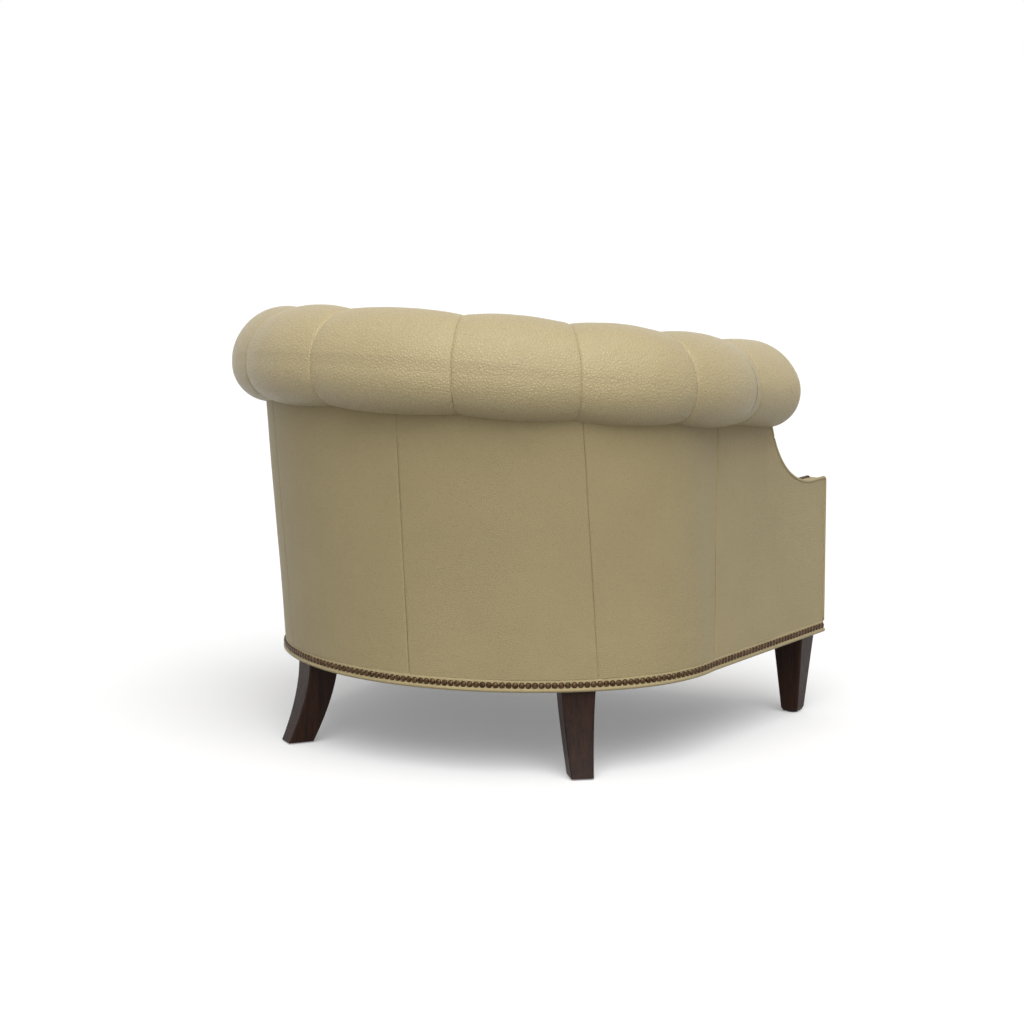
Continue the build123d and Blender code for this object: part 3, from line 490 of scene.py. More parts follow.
def leather(name, colour, pebble, depth, roughness, gloss_level):
    """Grained hide: rounded pebbles parted by fine creases, with soft changes of tone and painted shade in
    the creases.
    """
    m = Finish(name)
    wander = m.add("ShaderNodeTexNoise", {"Vector": m.place, "Scale": 0.35 / pebble}).outputs["Color"]
    bent = m.mix(0.5 * pebble, m.place, wander, data="VECTOR")
    crease = m.cells(1 / pebble, "DISTANCE_TO_EDGE", bent)
    crown = m.spread(crease, 0.0, 0.32, 0.0, 1.0)
    fine = m.noise(1.1 / pebble, 6.0)
    grain = m.math("ADD", crown, m.math("MULTIPLY", fine, 0.5))
    tone = m.noise(5.0, 5.0)
    hide = m.ramp(tone, (0.3, scaled(colour, 0.95)), (0.55, colour), (0.75, scaled(colour, 1.04)))
    # Painted shade: the colour is darkened in the creases between the pebbles
    crease_shade = m.spread(crease, 0.0, 0.10, 0.82, 1.0)
    shade = m.mix(1.0, hide, crease_shade, blend="MULTIPLY")
    gloss = m.math("ADD", m.math("MULTIPLY", fine, 0.16), roughness - 0.08)
    rolling = m.bump(m.noise(28.0, 3.0), 0.0012, 0.35)
    pebbles = m.bump(grain, depth, 0.8)
    m.feed(pebbles.inputs["Normal"], rolling.outputs["Normal"])
    m.set(Base_Color=shade, Roughness=gloss, Normal=pebbles.outputs["Normal"])
    m.set(Specular_IOR_Level=gloss_level, Sheen_Weight=0.08, Sheen_Roughness=0.5)
    return m.material


def wood(name, dark, light, roughness, grain_scale):
    """Straight grain that runs up and down, with pores."""
    m = Finish(name)
    along = m.stretch((1.0, 1.0, 0.06))
    figure = m.noise(grain_scale, 7.0, along, 0.7)
    pores = m.noise(grain_scale * 7, 3.0, along)
    streaks = m.math("ADD", m.math("MULTIPLY", figure, 0.7), m.math("MULTIPLY", pores, 0.3))
    stain = m.ramp(streaks, (0.36, dark), (0.52, scaled(light, 0.7)), (0.66, light))
    lacquer = m.spread(pores, 0.3, 0.7, roughness + 0.12, roughness - 0.05)
    relief = m.bump(streaks, 0.0004, 0.5).outputs["Normal"]
    m.set(Base_Color=stain, Roughness=lacquer, Normal=relief, Specular_IOR_Level=0.16)
    return m.material


def metal(name, dark, light, roughness):
    """Worn metal: darker and brighter in soft random patches, smoother where it is brighter."""
    m = Finish(name)
    wear = m.noise(160.0, 5.0)
    shade = m.ramp(wear, (0.35, dark), (0.65, light))
    polish = m.spread(wear, 0.3, 0.7, roughness + 0.1, roughness - 0.08)
    relief = m.bump(m.noise(900.0, 3.0), 0.0002, 0.4).outputs["Normal"]
    m.set(Base_Color=shade, Roughness=polish, Normal=relief, Metallic=1.0)
    return m.material


def cloth(name, colour, thread):
    """Plain weave, thread by thread."""
    m = Finish(name)
    waves = []
    for direction in ("X", "Y"):
        inputs = {"Vector": m.place, "Scale": 0.32 / thread, "Distortion": 0.6}
        waves.append(m.add("ShaderNodeTexWave", inputs, bands_direction=direction).outputs["Fac"])
    weave = m.math("MAXIMUM", *waves)
    shade = m.ramp(weave, (0.2, scaled(colour, 0.6)), (0.9, colour))
    relief = m.bump(weave, thread, 0.5).outputs["Normal"]
    m.set(Base_Color=shade, Roughness=m.spread(weave, 0.0, 1.0, 0.95, 0.8), Normal=relief)
    return m.material


def nylon(name, colour):
    """Moulded plastic with a fine speckle."""
    m = Finish(name)
    speck = m.noise(1500.0, 4.0)
    shade = m.ramp(speck, (0.3, scaled(colour, 0.8)), (0.7, scaled(colour, 1.2)))
    m.set(Base_Color=shade, Normal=m.bump(speck, 0.0001, 0.4).outputs["Normal"], Roughness=0.55)
    return m.material


HIDE = (0.470, 0.380, 0.203)
# The outside panels' leather is the roll's hide painted darker, as painted shade for the lower light on the
# panels
SHADED_PANEL_HIDE = scaled(HIDE, 0.89)
THREAD_COLOUR = scaled(HIDE, 0.62)
THREAD = cloth("thread", THREAD_COLOUR, thread=0.0004)
MATERIALS = {
    "roll_leather": leather("roll_leather", HIDE,
                            pebble=0.0054, depth=0.0008, roughness=0.42, gloss_level=0.44),
    # Panel leather: the same hide, darkened as painted shade
    "panel_leather": leather("panel_leather", SHADED_PANEL_HIDE,
                             pebble=0.0030, depth=0.0005, roughness=0.50, gloss_level=0.16),
    "cushion_leather": leather("cushion_leather", HIDE,
                               pebble=0.0046, depth=0.0009, roughness=0.48, gloss_level=0.36),
    "dark_wood": wood("dark_wood", dark=(0.0030, 0.0009, 0.0004), light=(0.030, 0.0100, 0.0042),
                      roughness=0.44, grain_scale=95.0),
    "frame_wood": wood("frame_wood", dark=(0.36, 0.22, 0.11), light=(0.60, 0.42, 0.25),
                       roughness=0.6, grain_scale=60.0),
    "nail_bronze": metal("nail_bronze", dark=(0.040, 0.023, 0.012), light=(0.105, 0.063, 0.035),
                         roughness=0.33),
    "steel": metal("steel", dark=(0.38, 0.38, 0.39), light=(0.62, 0.62, 0.63), roughness=0.35),
    "nylon": nylon("nylon", (0.05, 0.046, 0.042)),
    "webbing": cloth("webbing", (0.42, 0.32, 0.19), thread=0.0022),
    "deck_cloth": cloth("deck_cloth", (0.34, 0.28, 0.17), thread=0.0011),
    "dust_cloth": cloth("dust_cloth", (0.018, 0.017, 0.017), thread=0.0009),
}


def dress_frame():
    """Gives every CAD node the finish of its slot."""
    for subpart in frame["record"]["subparts"]:
        mesh = NODES[subpart["node"]].data
        mesh.materials.clear()
        mesh.materials.append(MATERIALS[subpart["material_slot"]])


# Roll and inside back

def roll_rise(y):
    """Height of the roll's crest over its middle; the roll is fuller at the back than on the arms."""
    return ROLL_RISE + CREST_SLOPE * y


def roll_top_arc(crest_rise):
    """Radius and join angle of the broad arc over the top of the roll."""
    run = ROLL_OVERHANG + CREST_SET_IN - ROLL_OUTER_RADIUS
    rise = crest_rise - ROLL_OUTER_RADIUS
    spread = (run**2 + rise**2) / (2 * rise)
    return ROLL_OUTER_RADIUS + spread, acos(run / spread)


def arc_run(centre, radius, start, end, count):
    """Points on an arc with the way that they face, leaving out the first."""
    angles = [start + (end - start) * share for share in shares(count)[1:]]
    return [(polar(centre, radius, angle), polar((0, 0), 1, angle)) for angle in angles]


def roll_section(point, outward):
    """Section across the roll and inside back: (place, facing, softness) round a loop."""
    backward = outward.y
    bottom = CHANNEL_BOTTOM - roll_height(point.y)
    seat_wall = SIDE_WALL + (BACK_WALL - SIDE_WALL) * backward**2
    crest_rise = roll_rise(point.y)
    inner_centre = Vector((-CREST_SET_IN, crest_rise - ROLL_INNER_RADIUS))
    top_radius, join = roll_top_arc(crest_rise)
    top_centre = (-CREST_SET_IN, crest_rise - top_radius)
    outer_centre = (ROLL_OVERHANG - ROLL_OUTER_RADIUS, 0)
    foot = Vector((-seat_wall, bottom))
    reach = foot - inner_centre
    touch = atan2(reach.y, reach.x) + 2 * pi - acos(ROLL_INNER_RADIUS / reach.length)
    throat = polar(inner_centre, ROLL_INNER_RADIUS, touch)
    rise = (throat - foot).normalized()
    inward = Vector((-rise.y, rise.x))
    soft = [(foot.lerp(throat, share), inward) for share in shares(INSIDE_BACK_STEPS)]
    soft += arc_run(inner_centre, ROLL_INNER_RADIUS, touch, pi / 2, CREST_STEPS)
    soft += arc_run(top_centre, top_radius, pi / 2, join, CREST_STEPS)
    soft += arc_run(outer_centre, ROLL_OUTER_RADIUS, join, -pi / 2, ROLL_OUTSIDE_STEPS)
    down = Vector((0, -1))
    lean = (TOP_BACK_DEPTH - BASE_BACK_DEPTH) * backward
    lean *= 1 - (CHANNEL_BOTTOM - BAND_TOP) / (WALL_TOP - BAND_TOP)
    lip = Vector((-PANEL_THICKNESS, -ROLL_UNDERSIDE - ROLL_SLOPE * backward * PANEL_THICKNESS))
    ledge = Vector((-WALL_DEPTH, -ROLL_UNDERSIDE - ROLL_SLOPE * backward * WALL_DEPTH))
    heel = Vector((-WALL_DEPTH - lean, bottom))
    section = [(place, facing, 1.0) for place, facing in soft]
    section += [(lip, down, 0.5), (ledge, down, 0.0), (heel, down, 0.0)]
    return section


def seam_sink(distance, half):
    """How far the leather is drawn in at a distance from a seam."""
    return SWELL * max(0.0, 1 - distance / half) ** 2 + CREASE * exp(-distance / CREASE_WIDTH)


def end_sink(distance):
    """How far the leather curls in towards the roll's front end."""
    if distance >= END_ROUNDING:
        return 0.0
    return END_SINK * (1 - sqrt(1 - (1 - distance / END_ROUNDING) ** 2))


def roll_ring(distance, sink, pucker):
    """World points of one section of the roll, sunk and puckered."""
    point, outward = TOP_CURVE.station(distance)
    centre = point + SHIFT + roll_height(point.y) * UP
    ring = []
    for place, facing, softness in roll_section(point, outward):
        base = centre + place.x * outward + place.y * UP
        normal = facing.x * outward + facing.y * UP
        wrinkle = pucker * noise.noise(base * PUCKER_SCALE) + lumps(base, ROLL_WAVES)
        ring.append(base + normal * softness * (wrinkle - sink))
    return ring


def channel(name, start, end, node, front_end=False):
    """One stuffed channel between two seams, or between a seam and the roll's front end."""
    rings = []
    half = end - start if front_end else (end - start) / 2
    for share in eased(CHANNEL_STEPS):
        distance = start + (end - start) * share
        to_seam = distance - start if front_end else min(distance - start, end - distance)
        sink = seam_sink(to_seam, half)
        if front_end:
            sink += end_sink(end - distance)
        rings.append(roll_ring(distance, sink, PUCKER * exp(-to_seam / PUCKER_REACH)))
    columns = len(rings[0])
    faces = grid_faces(len(rings), columns, wrap=True)
    faces.append(tuple(range(columns)))
    faces.append(tuple((len(rings) - 1) * columns + index for index in range(columns)))
    points = [point for ring in rings for point in ring]
    placings = [("", points)] if start < 0 else [(f"_{side}", placed) for side, placed in both_sides(points)]
    for suffix, placed in placings:
        piece = new_piece(f"{name}{suffix}", placed, faces)
        dress(piece, "roll_leather", f"{node}{suffix}")


def channels():
    half = CENTRE_CHANNEL / 2
    channel("roll_centre", -half, half, "back_channel_centre")
    for index in range(SIDE_CHANNELS):
        start = half + index * SIDE_CHANNEL
        channel(f"roll_{index + 1}", start, start + SIDE_CHANNEL, f"back_channel_{index + 1}")
    channel("roll_arm", ROLL_END - END_CHANNEL, ROLL_END, "arm_channel", front_end=True)


def roll_facings():
    """Padded panel over the front end of the roll, turned in at its sewn edge."""
    point, outward = TOP_CURVE.station(ROLL_END)
    centre = point + SHIFT + roll_height(point.y) * UP
    section = []
    for place, facing, softness in roll_section(point, outward):
        section.append(place - facing * softness * END_SINK)
    lip, heel = section[-3], section[-1]
    skin = -PANEL_THICKNESS - FIT
    section[-3:] = [Vector((skin, height)) for height in (lip.y, (lip.y + heel.y) / 2, heel.y)]
    points = []
    for size in FACING_SIZES:
        swell = FACING_THICKNESS * sqrt(1 - size**FACING_FULLNESS) + FIT
        for place in section:
            flat = FACING_HUB + (place - FACING_HUB) * size
            spot = centre + flat.x * outward + flat.y * UP
            points.append(spot + ARM_FORWARD * (swell + lumps(spot, FACING_WAVES)))
    columns = len(section)
    back = [spot - ARM_FORWARD * FACING_THICKNESS for spot in points[:columns]]
    points = back + points
    rows = len(FACING_SIZES) + 1
    faces = grid_faces(rows, columns, wrap=True)
    faces.append(tuple((rows - 1) * columns + index for index in range(columns)))
    for side, placed in both_sides(points):
        piece = new_piece(f"facing_{side}", placed, faces)
        dress(piece, "panel_leather", f"roll_facing_{side}")


# Outside panels

# Share of the wall's run that goes round the back and the corner; the rest is the straight side
CURVED_SHARE = 0.90
# Step along the run that gives the wall's direction
RUN_STEP = 0.002


def curve_point(curve, angle):
    """Point of a plan curve whose outer side faces an angle."""
    return curve.back(angle) if angle > curve.turn else curve.corner(angle)


def wall_point(run, height):
    """Point on the leaning outside wall: run goes from 0 at the back's middle to 1 at the side seam."""
    rise = (height - BAND_TOP) / (WALL_TOP - BAND_TOP)
    ends = []
    for curve in (BASE_CURVE, WALL_CURVE):
        if run < CURVED_SHARE:
            ends.append(curve_point(curve, pi / 2 * (1 - run / CURVED_SHARE)))
        else:
            ahead = (run - CURVED_SHARE) / (1 - CURVED_SHARE)
            ends.append(Vector((HALF_WIDTH, curve.straight - (curve.straight + SIDE_RUN) * ahead, 0)))
    return ends[0].lerp(ends[1], rise) + height * UP


def seam_crossing(height):
    """Where the upright plane of the quarter seam crosses the wall at a height."""
    return crossing(0.0, 1.0, lambda run: wall_point(run, height).x < QUARTER_SEAM_X)


QUARTER_RUNS = [seam_crossing(BAND_TOP + (WALL_TOP - BAND_TOP) * share) for share in shares(SEAM_LEVELS)]


def quarter_run(height):
    """Run of the quarter seam at a height."""
    level = (height - BAND_TOP) / (WALL_TOP - BAND_TOP) * SEAM_LEVELS
    below = min(max(int(level), 0), SEAM_LEVELS - 1)
    return QUARTER_RUNS[below] + (QUARTER_RUNS[below + 1] - QUARTER_RUNS[below]) * (level - below)


def tuck(distance):
    """How far a panel's edge is turned in at a seam."""
    return TUCK * exp(-distance / TUCK_WIDTH)


def wall_panel(name, node, first, last):
    """Leather stretched over the wall between two upright seams, given as functions of height."""
    columns = eased(PANEL_COLUMNS)
    rows = eased(PANEL_ROWS)
    outer = []
    for row in rows:
        for column in columns:
            foot_run = first(BAND_TOP) + (last(BAND_TOP) - first(BAND_TOP)) * column
            top = under_roll(wall_point(foot_run, WALL_TOP).y) + TUCK_UNDER_ROLL
            height = BAND_TOP + (top - BAND_TOP) * row
            start, end = first(height), last(height)
            run = start + (end - start) * column
            spot = wall_point(run, height)
            ahead = wall_point(min(run + RUN_STEP, 1.0), height)
            along = ahead - wall_point(max(run - RUN_STEP, 0.0), height)
            outward = Vector((-along.y, along.x, 0)).normalized()
            width = (wall_point(end, height) - wall_point(start, height)).length
            edge = min(column, 1 - column) * width
            depth = tuck(edge) - lumps(spot, WALL_WAVES)
            outer.append((spot + SHIFT, outward, depth))
    save_skin(name, node, outer, len(rows), len(columns))


def save_skin(name, node, outer, rows, columns):
    """A panel with its inner face, on the left and mirrored on the right."""
    front = [spot - outward * depth for spot, outward, depth in outer]
    back = [spot - outward * (PANEL_THICKNESS - FIT) for spot, outward, _ in outer]
    faces = grid_faces(rows, columns)
    start = len(front)
    faces += [tuple(start + index for index in reversed(face)) for face in grid_faces(rows, columns)]
    rim = list(range(columns))
    rim += [row * columns + columns - 1 for row in range(1, rows)]
    rim += [(rows - 1) * columns + column for column in range(columns - 2, -1, -1)]
    rim += [row * columns for row in range(rows - 2, 0, -1)]
    for index, here in enumerate(rim):
        beside = rim[(index + 1) % len(rim)]
        faces.append((here, beside, start + beside, start + here))
    points = front + back
    for side, placed in both_sides(points):
        piece = new_piece(f"{name}_{side}", placed, faces)
        dress(piece, "panel_leather", f"{node}_{side}")


def outside_panels():
    wall_panel("back_panel", "outside_back", lambda height: 0.0, quarter_run)
    wall_panel("quarter_panel", "outside_quarter", quarter_run, lambda height: 1.0)


# Arms, drawn in the arm's own plane: x points back from the side seam and y up

SCOOP_CENTRE = Vector((-(ARM_LENGTH - SCOOP_FLAT), ARM_FRONT_HEIGHT + SCOOP_RADIUS))


def below_roll(angle):
    """Whether the scoop is still below the roll's underside at an angle."""
    place = polar(SCOOP_CENTRE, SCOOP_RADIUS, angle)
    return place.y < under_roll(-SIDE_RUN + place.x * cos(ARM_ANGLE))


SCOOP_START = crossing(-pi / 2, 0.0, below_roll)


def arm_place(place, depth):
    """World point of a place in the left arm's plane, depth inside its outer face."""
    corner = Vector((HALF_WIDTH, -SIDE_RUN + CENTRE_SHIFT, 0))
    return corner - place.x * ARM_FORWARD - depth * ARM_OUTWARD + place.y * UP


def front_reach(depth):
    """How far ahead of the side seam the front face is, depth inside the arm's outer face."""
    return ARM_LENGTH - depth * sin(ARM_ANGLE) / cos(ARM_ANGLE)


def arm_top(start, depth):
    """Top line of the arm from a place behind the scoop to the front face."""
    line = []
    top = polar(SCOOP_CENTRE, SCOOP_RADIUS, SCOOP_START)
    for share in shares(ARM_SLOPE_STEPS)[:-1]:
        x = start + (top.x - start) * share
        line.append(Vector((x, under_roll(-SIDE_RUN + x * cos(ARM_ANGLE)) - FIT)))
    for share in shares(SCOOP_STEPS)[:-1]:
        line.append(polar(SCOOP_CENTRE, SCOOP_RADIUS, SCOOP_START + (-pi / 2 - SCOOP_START) * share))
    reach = front_reach(depth)
    for share in shares(ARM_FLAT_STEPS):
        line.append(Vector((SCOOP_CENTRE.x + (-reach - SCOOP_CENTRE.x) * share, ARM_FRONT_HEIGHT)))
    return line


def outside_arms():
    """Flat leather on the outside of the arms, turned in at the seam and under the scoop's edge."""
    top = arm_top(0.0, 0.0)
    rows = eased(ARM_ROWS)
    outer = []
    for row in rows:
        for place in top:
            spot = Vector((place.x, BAND_TOP + (place.y - BAND_TOP) * row))
            edge = min(-place.x, ARM_LENGTH + place.x)
            if place.x > -ROLL_FRONT_RUN:
                spot.y += TUCK_UNDER_ROLL * row
            else:
                edge = min(edge, place.y - spot.y)
            point = arm_place(spot, 0.0)
            depth = tuck(edge) - lumps(point, ARM_WAVES)
            outer.append((point, ARM_OUTWARD, depth))
    save_skin("arm_panel", "outside_arm", outer, len(rows), len(top))


def arm_edge_line():
    """The arm's outer edge from the roll down the scoop, along the top and down the front."""
    line = [place for place in arm_top(0.0, 0.0) if place.x <= -ROLL_FRONT_RUN]
    corner = line.pop()
    front_top = corner.y - EDGE_CORNER
    for share in shares(EDGE_CORNER_STEPS):
        line.append(polar((corner.x + EDGE_CORNER, front_top), EDGE_CORNER, pi / 2 * (1 + share)))
    for share in shares(ARM_FRONT_STEPS)[1:]:
        line.append(Vector((corner.x, front_top + (BAND_TOP - front_top) * share)))
    return [arm_place(place, EDGE_DEPTH) for place in line]


def padded_block(name, outline, direction, thickness, rounding, voxel, smoothing):
    """A flat outline given thickness, its edges rounded and softened."""
    mesh = bpy.data.meshes.new(name)
    shape = bmesh.new()
    face = shape.faces.new([shape.verts.new(point) for point in outline])
    moved = bmesh.ops.extrude_face_region(shape, geom=[face])["geom"]
    verts = [item for item in moved if isinstance(item, bmesh.types.BMVert)]
    bmesh.ops.translate(shape, vec=direction * thickness, verts=verts)
    bmesh.ops.recalc_face_normals(shape, faces=shape.faces)
    sharp = [edge for edge in shape.edges if edge.calc_face_angle(0.0) > radians(40)]
    bmesh.ops.bevel(shape, geom=sharp, offset=rounding, segments=4, profile=0.5, affect="EDGES")
    shape.to_mesh(mesh)
    shape.free()
    piece = bpy.data.objects.new(name, mesh)
    bpy.context.scene.collection.objects.link(piece)
    soften(piece, voxel, smoothing)
    return piece


def mirror_piece(piece, name):
    """The same piece on the right side."""
    mesh = piece.data.copy()
    mesh.transform(Matrix.Scale(-1, 4, (1, 0, 0)))
    mesh.flip_normals()
    twin = bpy.data.objects.new(name, mesh)
    bpy.context.scene.collection.objects.link(twin)
    return twin


def arm_covers():
    """Padded leather over the top, front and inside of each arm, with a rolled edge outside."""
    start = -(ROLL_FRONT_RUN + FACING_THICKNESS + 2 * FIT)
    outside = PANEL_THICKNESS + FIT
    top = [place for place in arm_top(start, ARM_THICKNESS) if place.x < start - ARM_PAD_GAP]
    top[0].x = start
    outline = top + [Vector((top[-1].x, BAND_TOP)), Vector((start, BAND_TOP))]
    points = [arm_place(place, outside) for place in outline]
    cover = padded_block("arm_pad_left", points, -ARM_OUTWARD, ARM_THICKNESS - outside,
                         ARM_PAD_ROUNDING, ARM_PAD_VOXEL, ARM_PAD_SMOOTHING)
    unevenness(cover, ARM_PAD_WAVES)
    edge_points, edge_faces = tube(arm_edge_line(), EDGE_ROLL, sides=12)
    edge = new_piece("arm_edge_left", edge_points, edge_faces)
    for side in ("left", "right"):
        if side == "right":
            cover = mirror_piece(cover, "arm_pad_right")
            edge = mirror_piece(edge, "arm_edge_right")
        dress(cover, "panel_leather", f"arm_cover_{side}")
        dress(edge, "panel_leather")


# Base band, stitches and nails

def base_line(step):
    """Points and outward directions round the base, closed across the front."""
    half = BASE_CURVE.length() + SIDE_RUN + ARM_LENGTH
    count = round(2 * half / step)
    line = [BASE_CURVE.station(half * (2 * share - 1)) for share in shares(count)]
    turn = Vector((1, -1, 0)).normalized()
    line.append((Vector((FRONT_HALF_WIDTH, -FRONT_DEPTH, 0)), turn))
    front = round(2 * FRONT_HALF_WIDTH / step)
    for share in shares(front)[1:-1]:
        line.append((Vector((FRONT_HALF_WIDTH * (1 - 2 * share), -FRONT_DEPTH, 0)), Vector((0, -1, 0))))
    line.append((Vector((-FRONT_HALF_WIDTH, -FRONT_DEPTH, 0)), Vector((-turn.x, turn.y, 0))))
    return line


def base_band():
    """Leather band under the panels, with a plump rolled lip below the nails."""
    hidden = -(PANEL_THICKNESS - FIT)
    profile = [(hidden, BAND_TOP), (0.0, BAND_TOP), (0.0, BAND_TOP - BAND_FOLD), (-LIP_SEAM_DEPTH, LIP_SEAM)]
    profile += [(LIP_RADIUS * cos(turn), LEG_HEIGHT + LIP_RADIUS * (1 + sin(turn))) for turn in LIP_TURNS]
    profile.append((hidden, LEG_HEIGHT))
    points = []
    line = base_line(BAND_STEP)
    for point, outward in line:
        for out, height in profile:
            points.append(point + SHIFT + out * outward + height * UP)
    band = new_piece("base_trim", points, grid_faces(len(line), len(profile), wrap=True, loop=True))
    dress(band, "panel_leather", "base_band")


# A direction that no nail points in
ASKEW = Vector((0.31, 0.17, 0.93))


def nail(place, outward, seed):
    """One domed nailhead, set a little unevenly as by hand."""
    tilt = Vector([noise.noise(seed * scale) for scale in SWAY_SCALES])
    axis = (outward + NAIL_SWAY * tilt).normalized()
    across = axis.cross(ASKEW).normalized()
    lift = axis.cross(across)
    points = []
    for step in range(NAIL_RINGS):
        angle = pi / 2 * step / NAIL_RINGS
        radius = NAIL_RADIUS * cos(angle) ** NAIL_FLATNESS
        height = NAIL_RISE * sin(angle)
        for side in range(NAIL_SIDES):
            turn = 2 * pi * side / NAIL_SIDES
            points.append(place + axis * height + radius * (cos(turn) * across + sin(turn) * lift))
    points.append(place + axis * NAIL_RISE)
    faces = grid_faces(NAIL_RINGS, NAIL_SIDES, wrap=True)
    last = (NAIL_RINGS - 1) * NAIL_SIDES
    for side in range(NAIL_SIDES):
        faces.append((last + side, last + (side + 1) % NAIL_SIDES, len(points) - 1))
    faces.append(tuple(range(NAIL_SIDES - 1, -1, -1)))
    return points, faces


def nail_row(name, node, places):
    parts = []
    for index, (place, outward) in enumerate(places):
        parts.append(nail(place, outward, Vector((index * 0.37, 1.3, 0.7))))
    row = new_piece(name, *joined(parts))
    dress(row, "nail_bronze", node)


def base_nails():
    half = BASE_CURVE.length() + SIDE_RUN + ARM_LENGTH - NAIL_RADIUS
    count = round(2 * half / NAIL_PITCH)
    places = []
    for share in shares(count):
        point, outward = BASE_CURVE.station(half * (2 * share - 1))
        places.append((point + SHIFT + NAIL_HEIGHT * UP, outward))
    front = FRONT_HALF_WIDTH - NAIL_RADIUS
    for share in shares(round(2 * front / NAIL_PITCH)):
        place = Vector((front * (2 * share - 1), CENTRE_SHIFT - FRONT_DEPTH, NAIL_HEIGHT))
        places.append((place, Vector((0, -1, 0))))
    nail_row("base_nails", "base_nailheads", places)


def arm_nails():
    """Nailheads along the inner edge of each arm's top and down its front."""
    depth = ARM_THICKNESS - ARM_NAIL_FROM_EDGE
    bend = SCOOP_RADIUS * (SCOOP_START + pi / 2)
    flat = SCOOP_FLAT - 2 * NAIL_RADIUS
    places = []
    for index in range(1, int((bend + flat) / NAIL_PITCH) + 1):
        run = index * NAIL_PITCH
        if run < bend:
            angle = SCOOP_START - run / SCOOP_RADIUS
            place = polar(SCOOP_CENTRE, SCOOP_RADIUS, angle)
            facing = -polar((0, 0), 1, angle)
        else:
            place = Vector((SCOOP_CENTRE.x - (run - bend), ARM_FRONT_HEIGHT))
            facing = Vector((0, 1))
        places.append((arm_place(place, depth), -facing.x * ARM_FORWARD + facing.y * UP))
    front = arm_place(Vector((-ARM_LENGTH, ARM_FRONT_HEIGHT)), depth)
    drop = ARM_FRONT_HEIGHT - BAND_TOP - 4 * NAIL_RADIUS
    for index in range(int(drop / NAIL_PITCH) + 1):
        height = ARM_FRONT_HEIGHT - 2 * NAIL_RADIUS - index * NAIL_PITCH
        places.append((Vector((front.x, CENTRE_SHIFT - FRONT_DEPTH, height)), Vector((0, -1, 0))))
    flip = Matrix.Scale(-1, 3, (1, 0, 0))
    twins = [(flip @ place, flip @ outward) for place, outward in places]
    nail_row("arm_nails_left", "arm_nailheads_left", places)
    nail_row("arm_nails_right", "arm_nailheads_right", twins)


def stitch_line(points, outwards):
    """Short stitches along a seam."""
    parts = []
    travelled = 0.0
    due = STITCH_PITCH
    for here, ahead, outward in zip(points, points[1:], outwards):
        span = (ahead - here).length
        way = (ahead - here).normalized()
        while due < travelled + span:
            middle = here + way * (due - travelled)
            bow = [middle + way * STITCH_LENGTH * share + outward * rise for share, rise in STITCH_SHAPE]
            parts.append(tube(bow, STITCH_RADIUS, sides=6))
            due += STITCH_PITCH
        travelled += span
    return parts


def seam_stitches():
    """Stitching on the upright seams of the outside panels."""
    parts = []
    heights = [BAND_TOP + STITCH_RUN * share for share in shares(STITCH_LEVELS)]
    for run in (lambda height: 0.0, quarter_run, lambda height: 1.0):
        points = []
        outwards = []
        for height in heights:
            place = wall_point(run(height), height)
            if height > under_roll(place.y):
                break
            outward = Vector((place.x, place.y, 0)).normalized()
            points.append(place + SHIFT - outward * STITCH_SET_IN)
            outwards.append(outward)
        parts += stitch_line(points, outwards)
        if points[0].x > STITCH_LENGTH:
            parts += stitch_line(mirrored_points(points), mirrored_points(outwards))
    stitches = new_piece("panel_stitches", *joined(parts))
    dress(stitches, "panel_leather", material=THREAD)


# Seat

# Corners opener than this are left alone
OPEN_CORNER = radians(170)


def rounded(points, radius, steps=8):
    """A closed outline with its corners rounded off."""
    line = []
    count = len(points)
    for index, point in enumerate(points):
        before = (points[index - 1] - point).normalized()
        after = (points[(index + 1) % count] - point).normalized()
        angle = before.angle(after)
        if angle > OPEN_CORNER:
            line.append(point)
            continue
        reach = radius / (sin(angle / 2) / cos(angle / 2))
        start = point + before * reach
        end = point + after * reach
        centre = point + (before + after).normalized() * radius / sin(angle / 2)
        for share in shares(steps):
            spoke = (start - centre).lerp(end - centre, share).normalized() * radius
            line.append(centre + spoke)
    return line


def cushion_line(inset):
    """T-shaped plan of the seat cushion, drawn in by inset."""
    low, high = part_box("seat_cushion")
    wall = CUSHION_WALL + inset
    curve = BackCurve(HALF_WIDTH - wall, high.y - CENTRE_SHIFT - inset, CUSHION_BACK_INSET)
    half = curve.length()
    back = [curve.station(half * (1 - 2 * share))[0] for share in shares(CUSHION_BACK_STEPS)]
    ear_back = -(ROLL_FRONT_RUN + FACING_THICKNESS + CUSHION_FACING_GAP + inset)
    arm_side = ARM_THICKNESS + CUSHION_ARM_GAP + inset
    neck = arm_place(Vector((ear_back, 0)), wall) - SHIFT
    ear = arm_place(Vector((ear_back, 0)), arm_side) - SHIFT
    front_ear = arm_place(Vector((-ARM_LENGTH, 0)), arm_side) - SHIFT
    front_y = low.y - CENTRE_SHIFT + inset
    left = [Vector((neck.x, neck.y, 0)), Vector((ear.x, neck.y, 0)), Vector((front_ear.x, front_y, 0))]
    corners = back + mirrored_points(reversed(left)) + left
    return [point + SHIFT for point in rounded(corners, CUSHION_CORNER)]


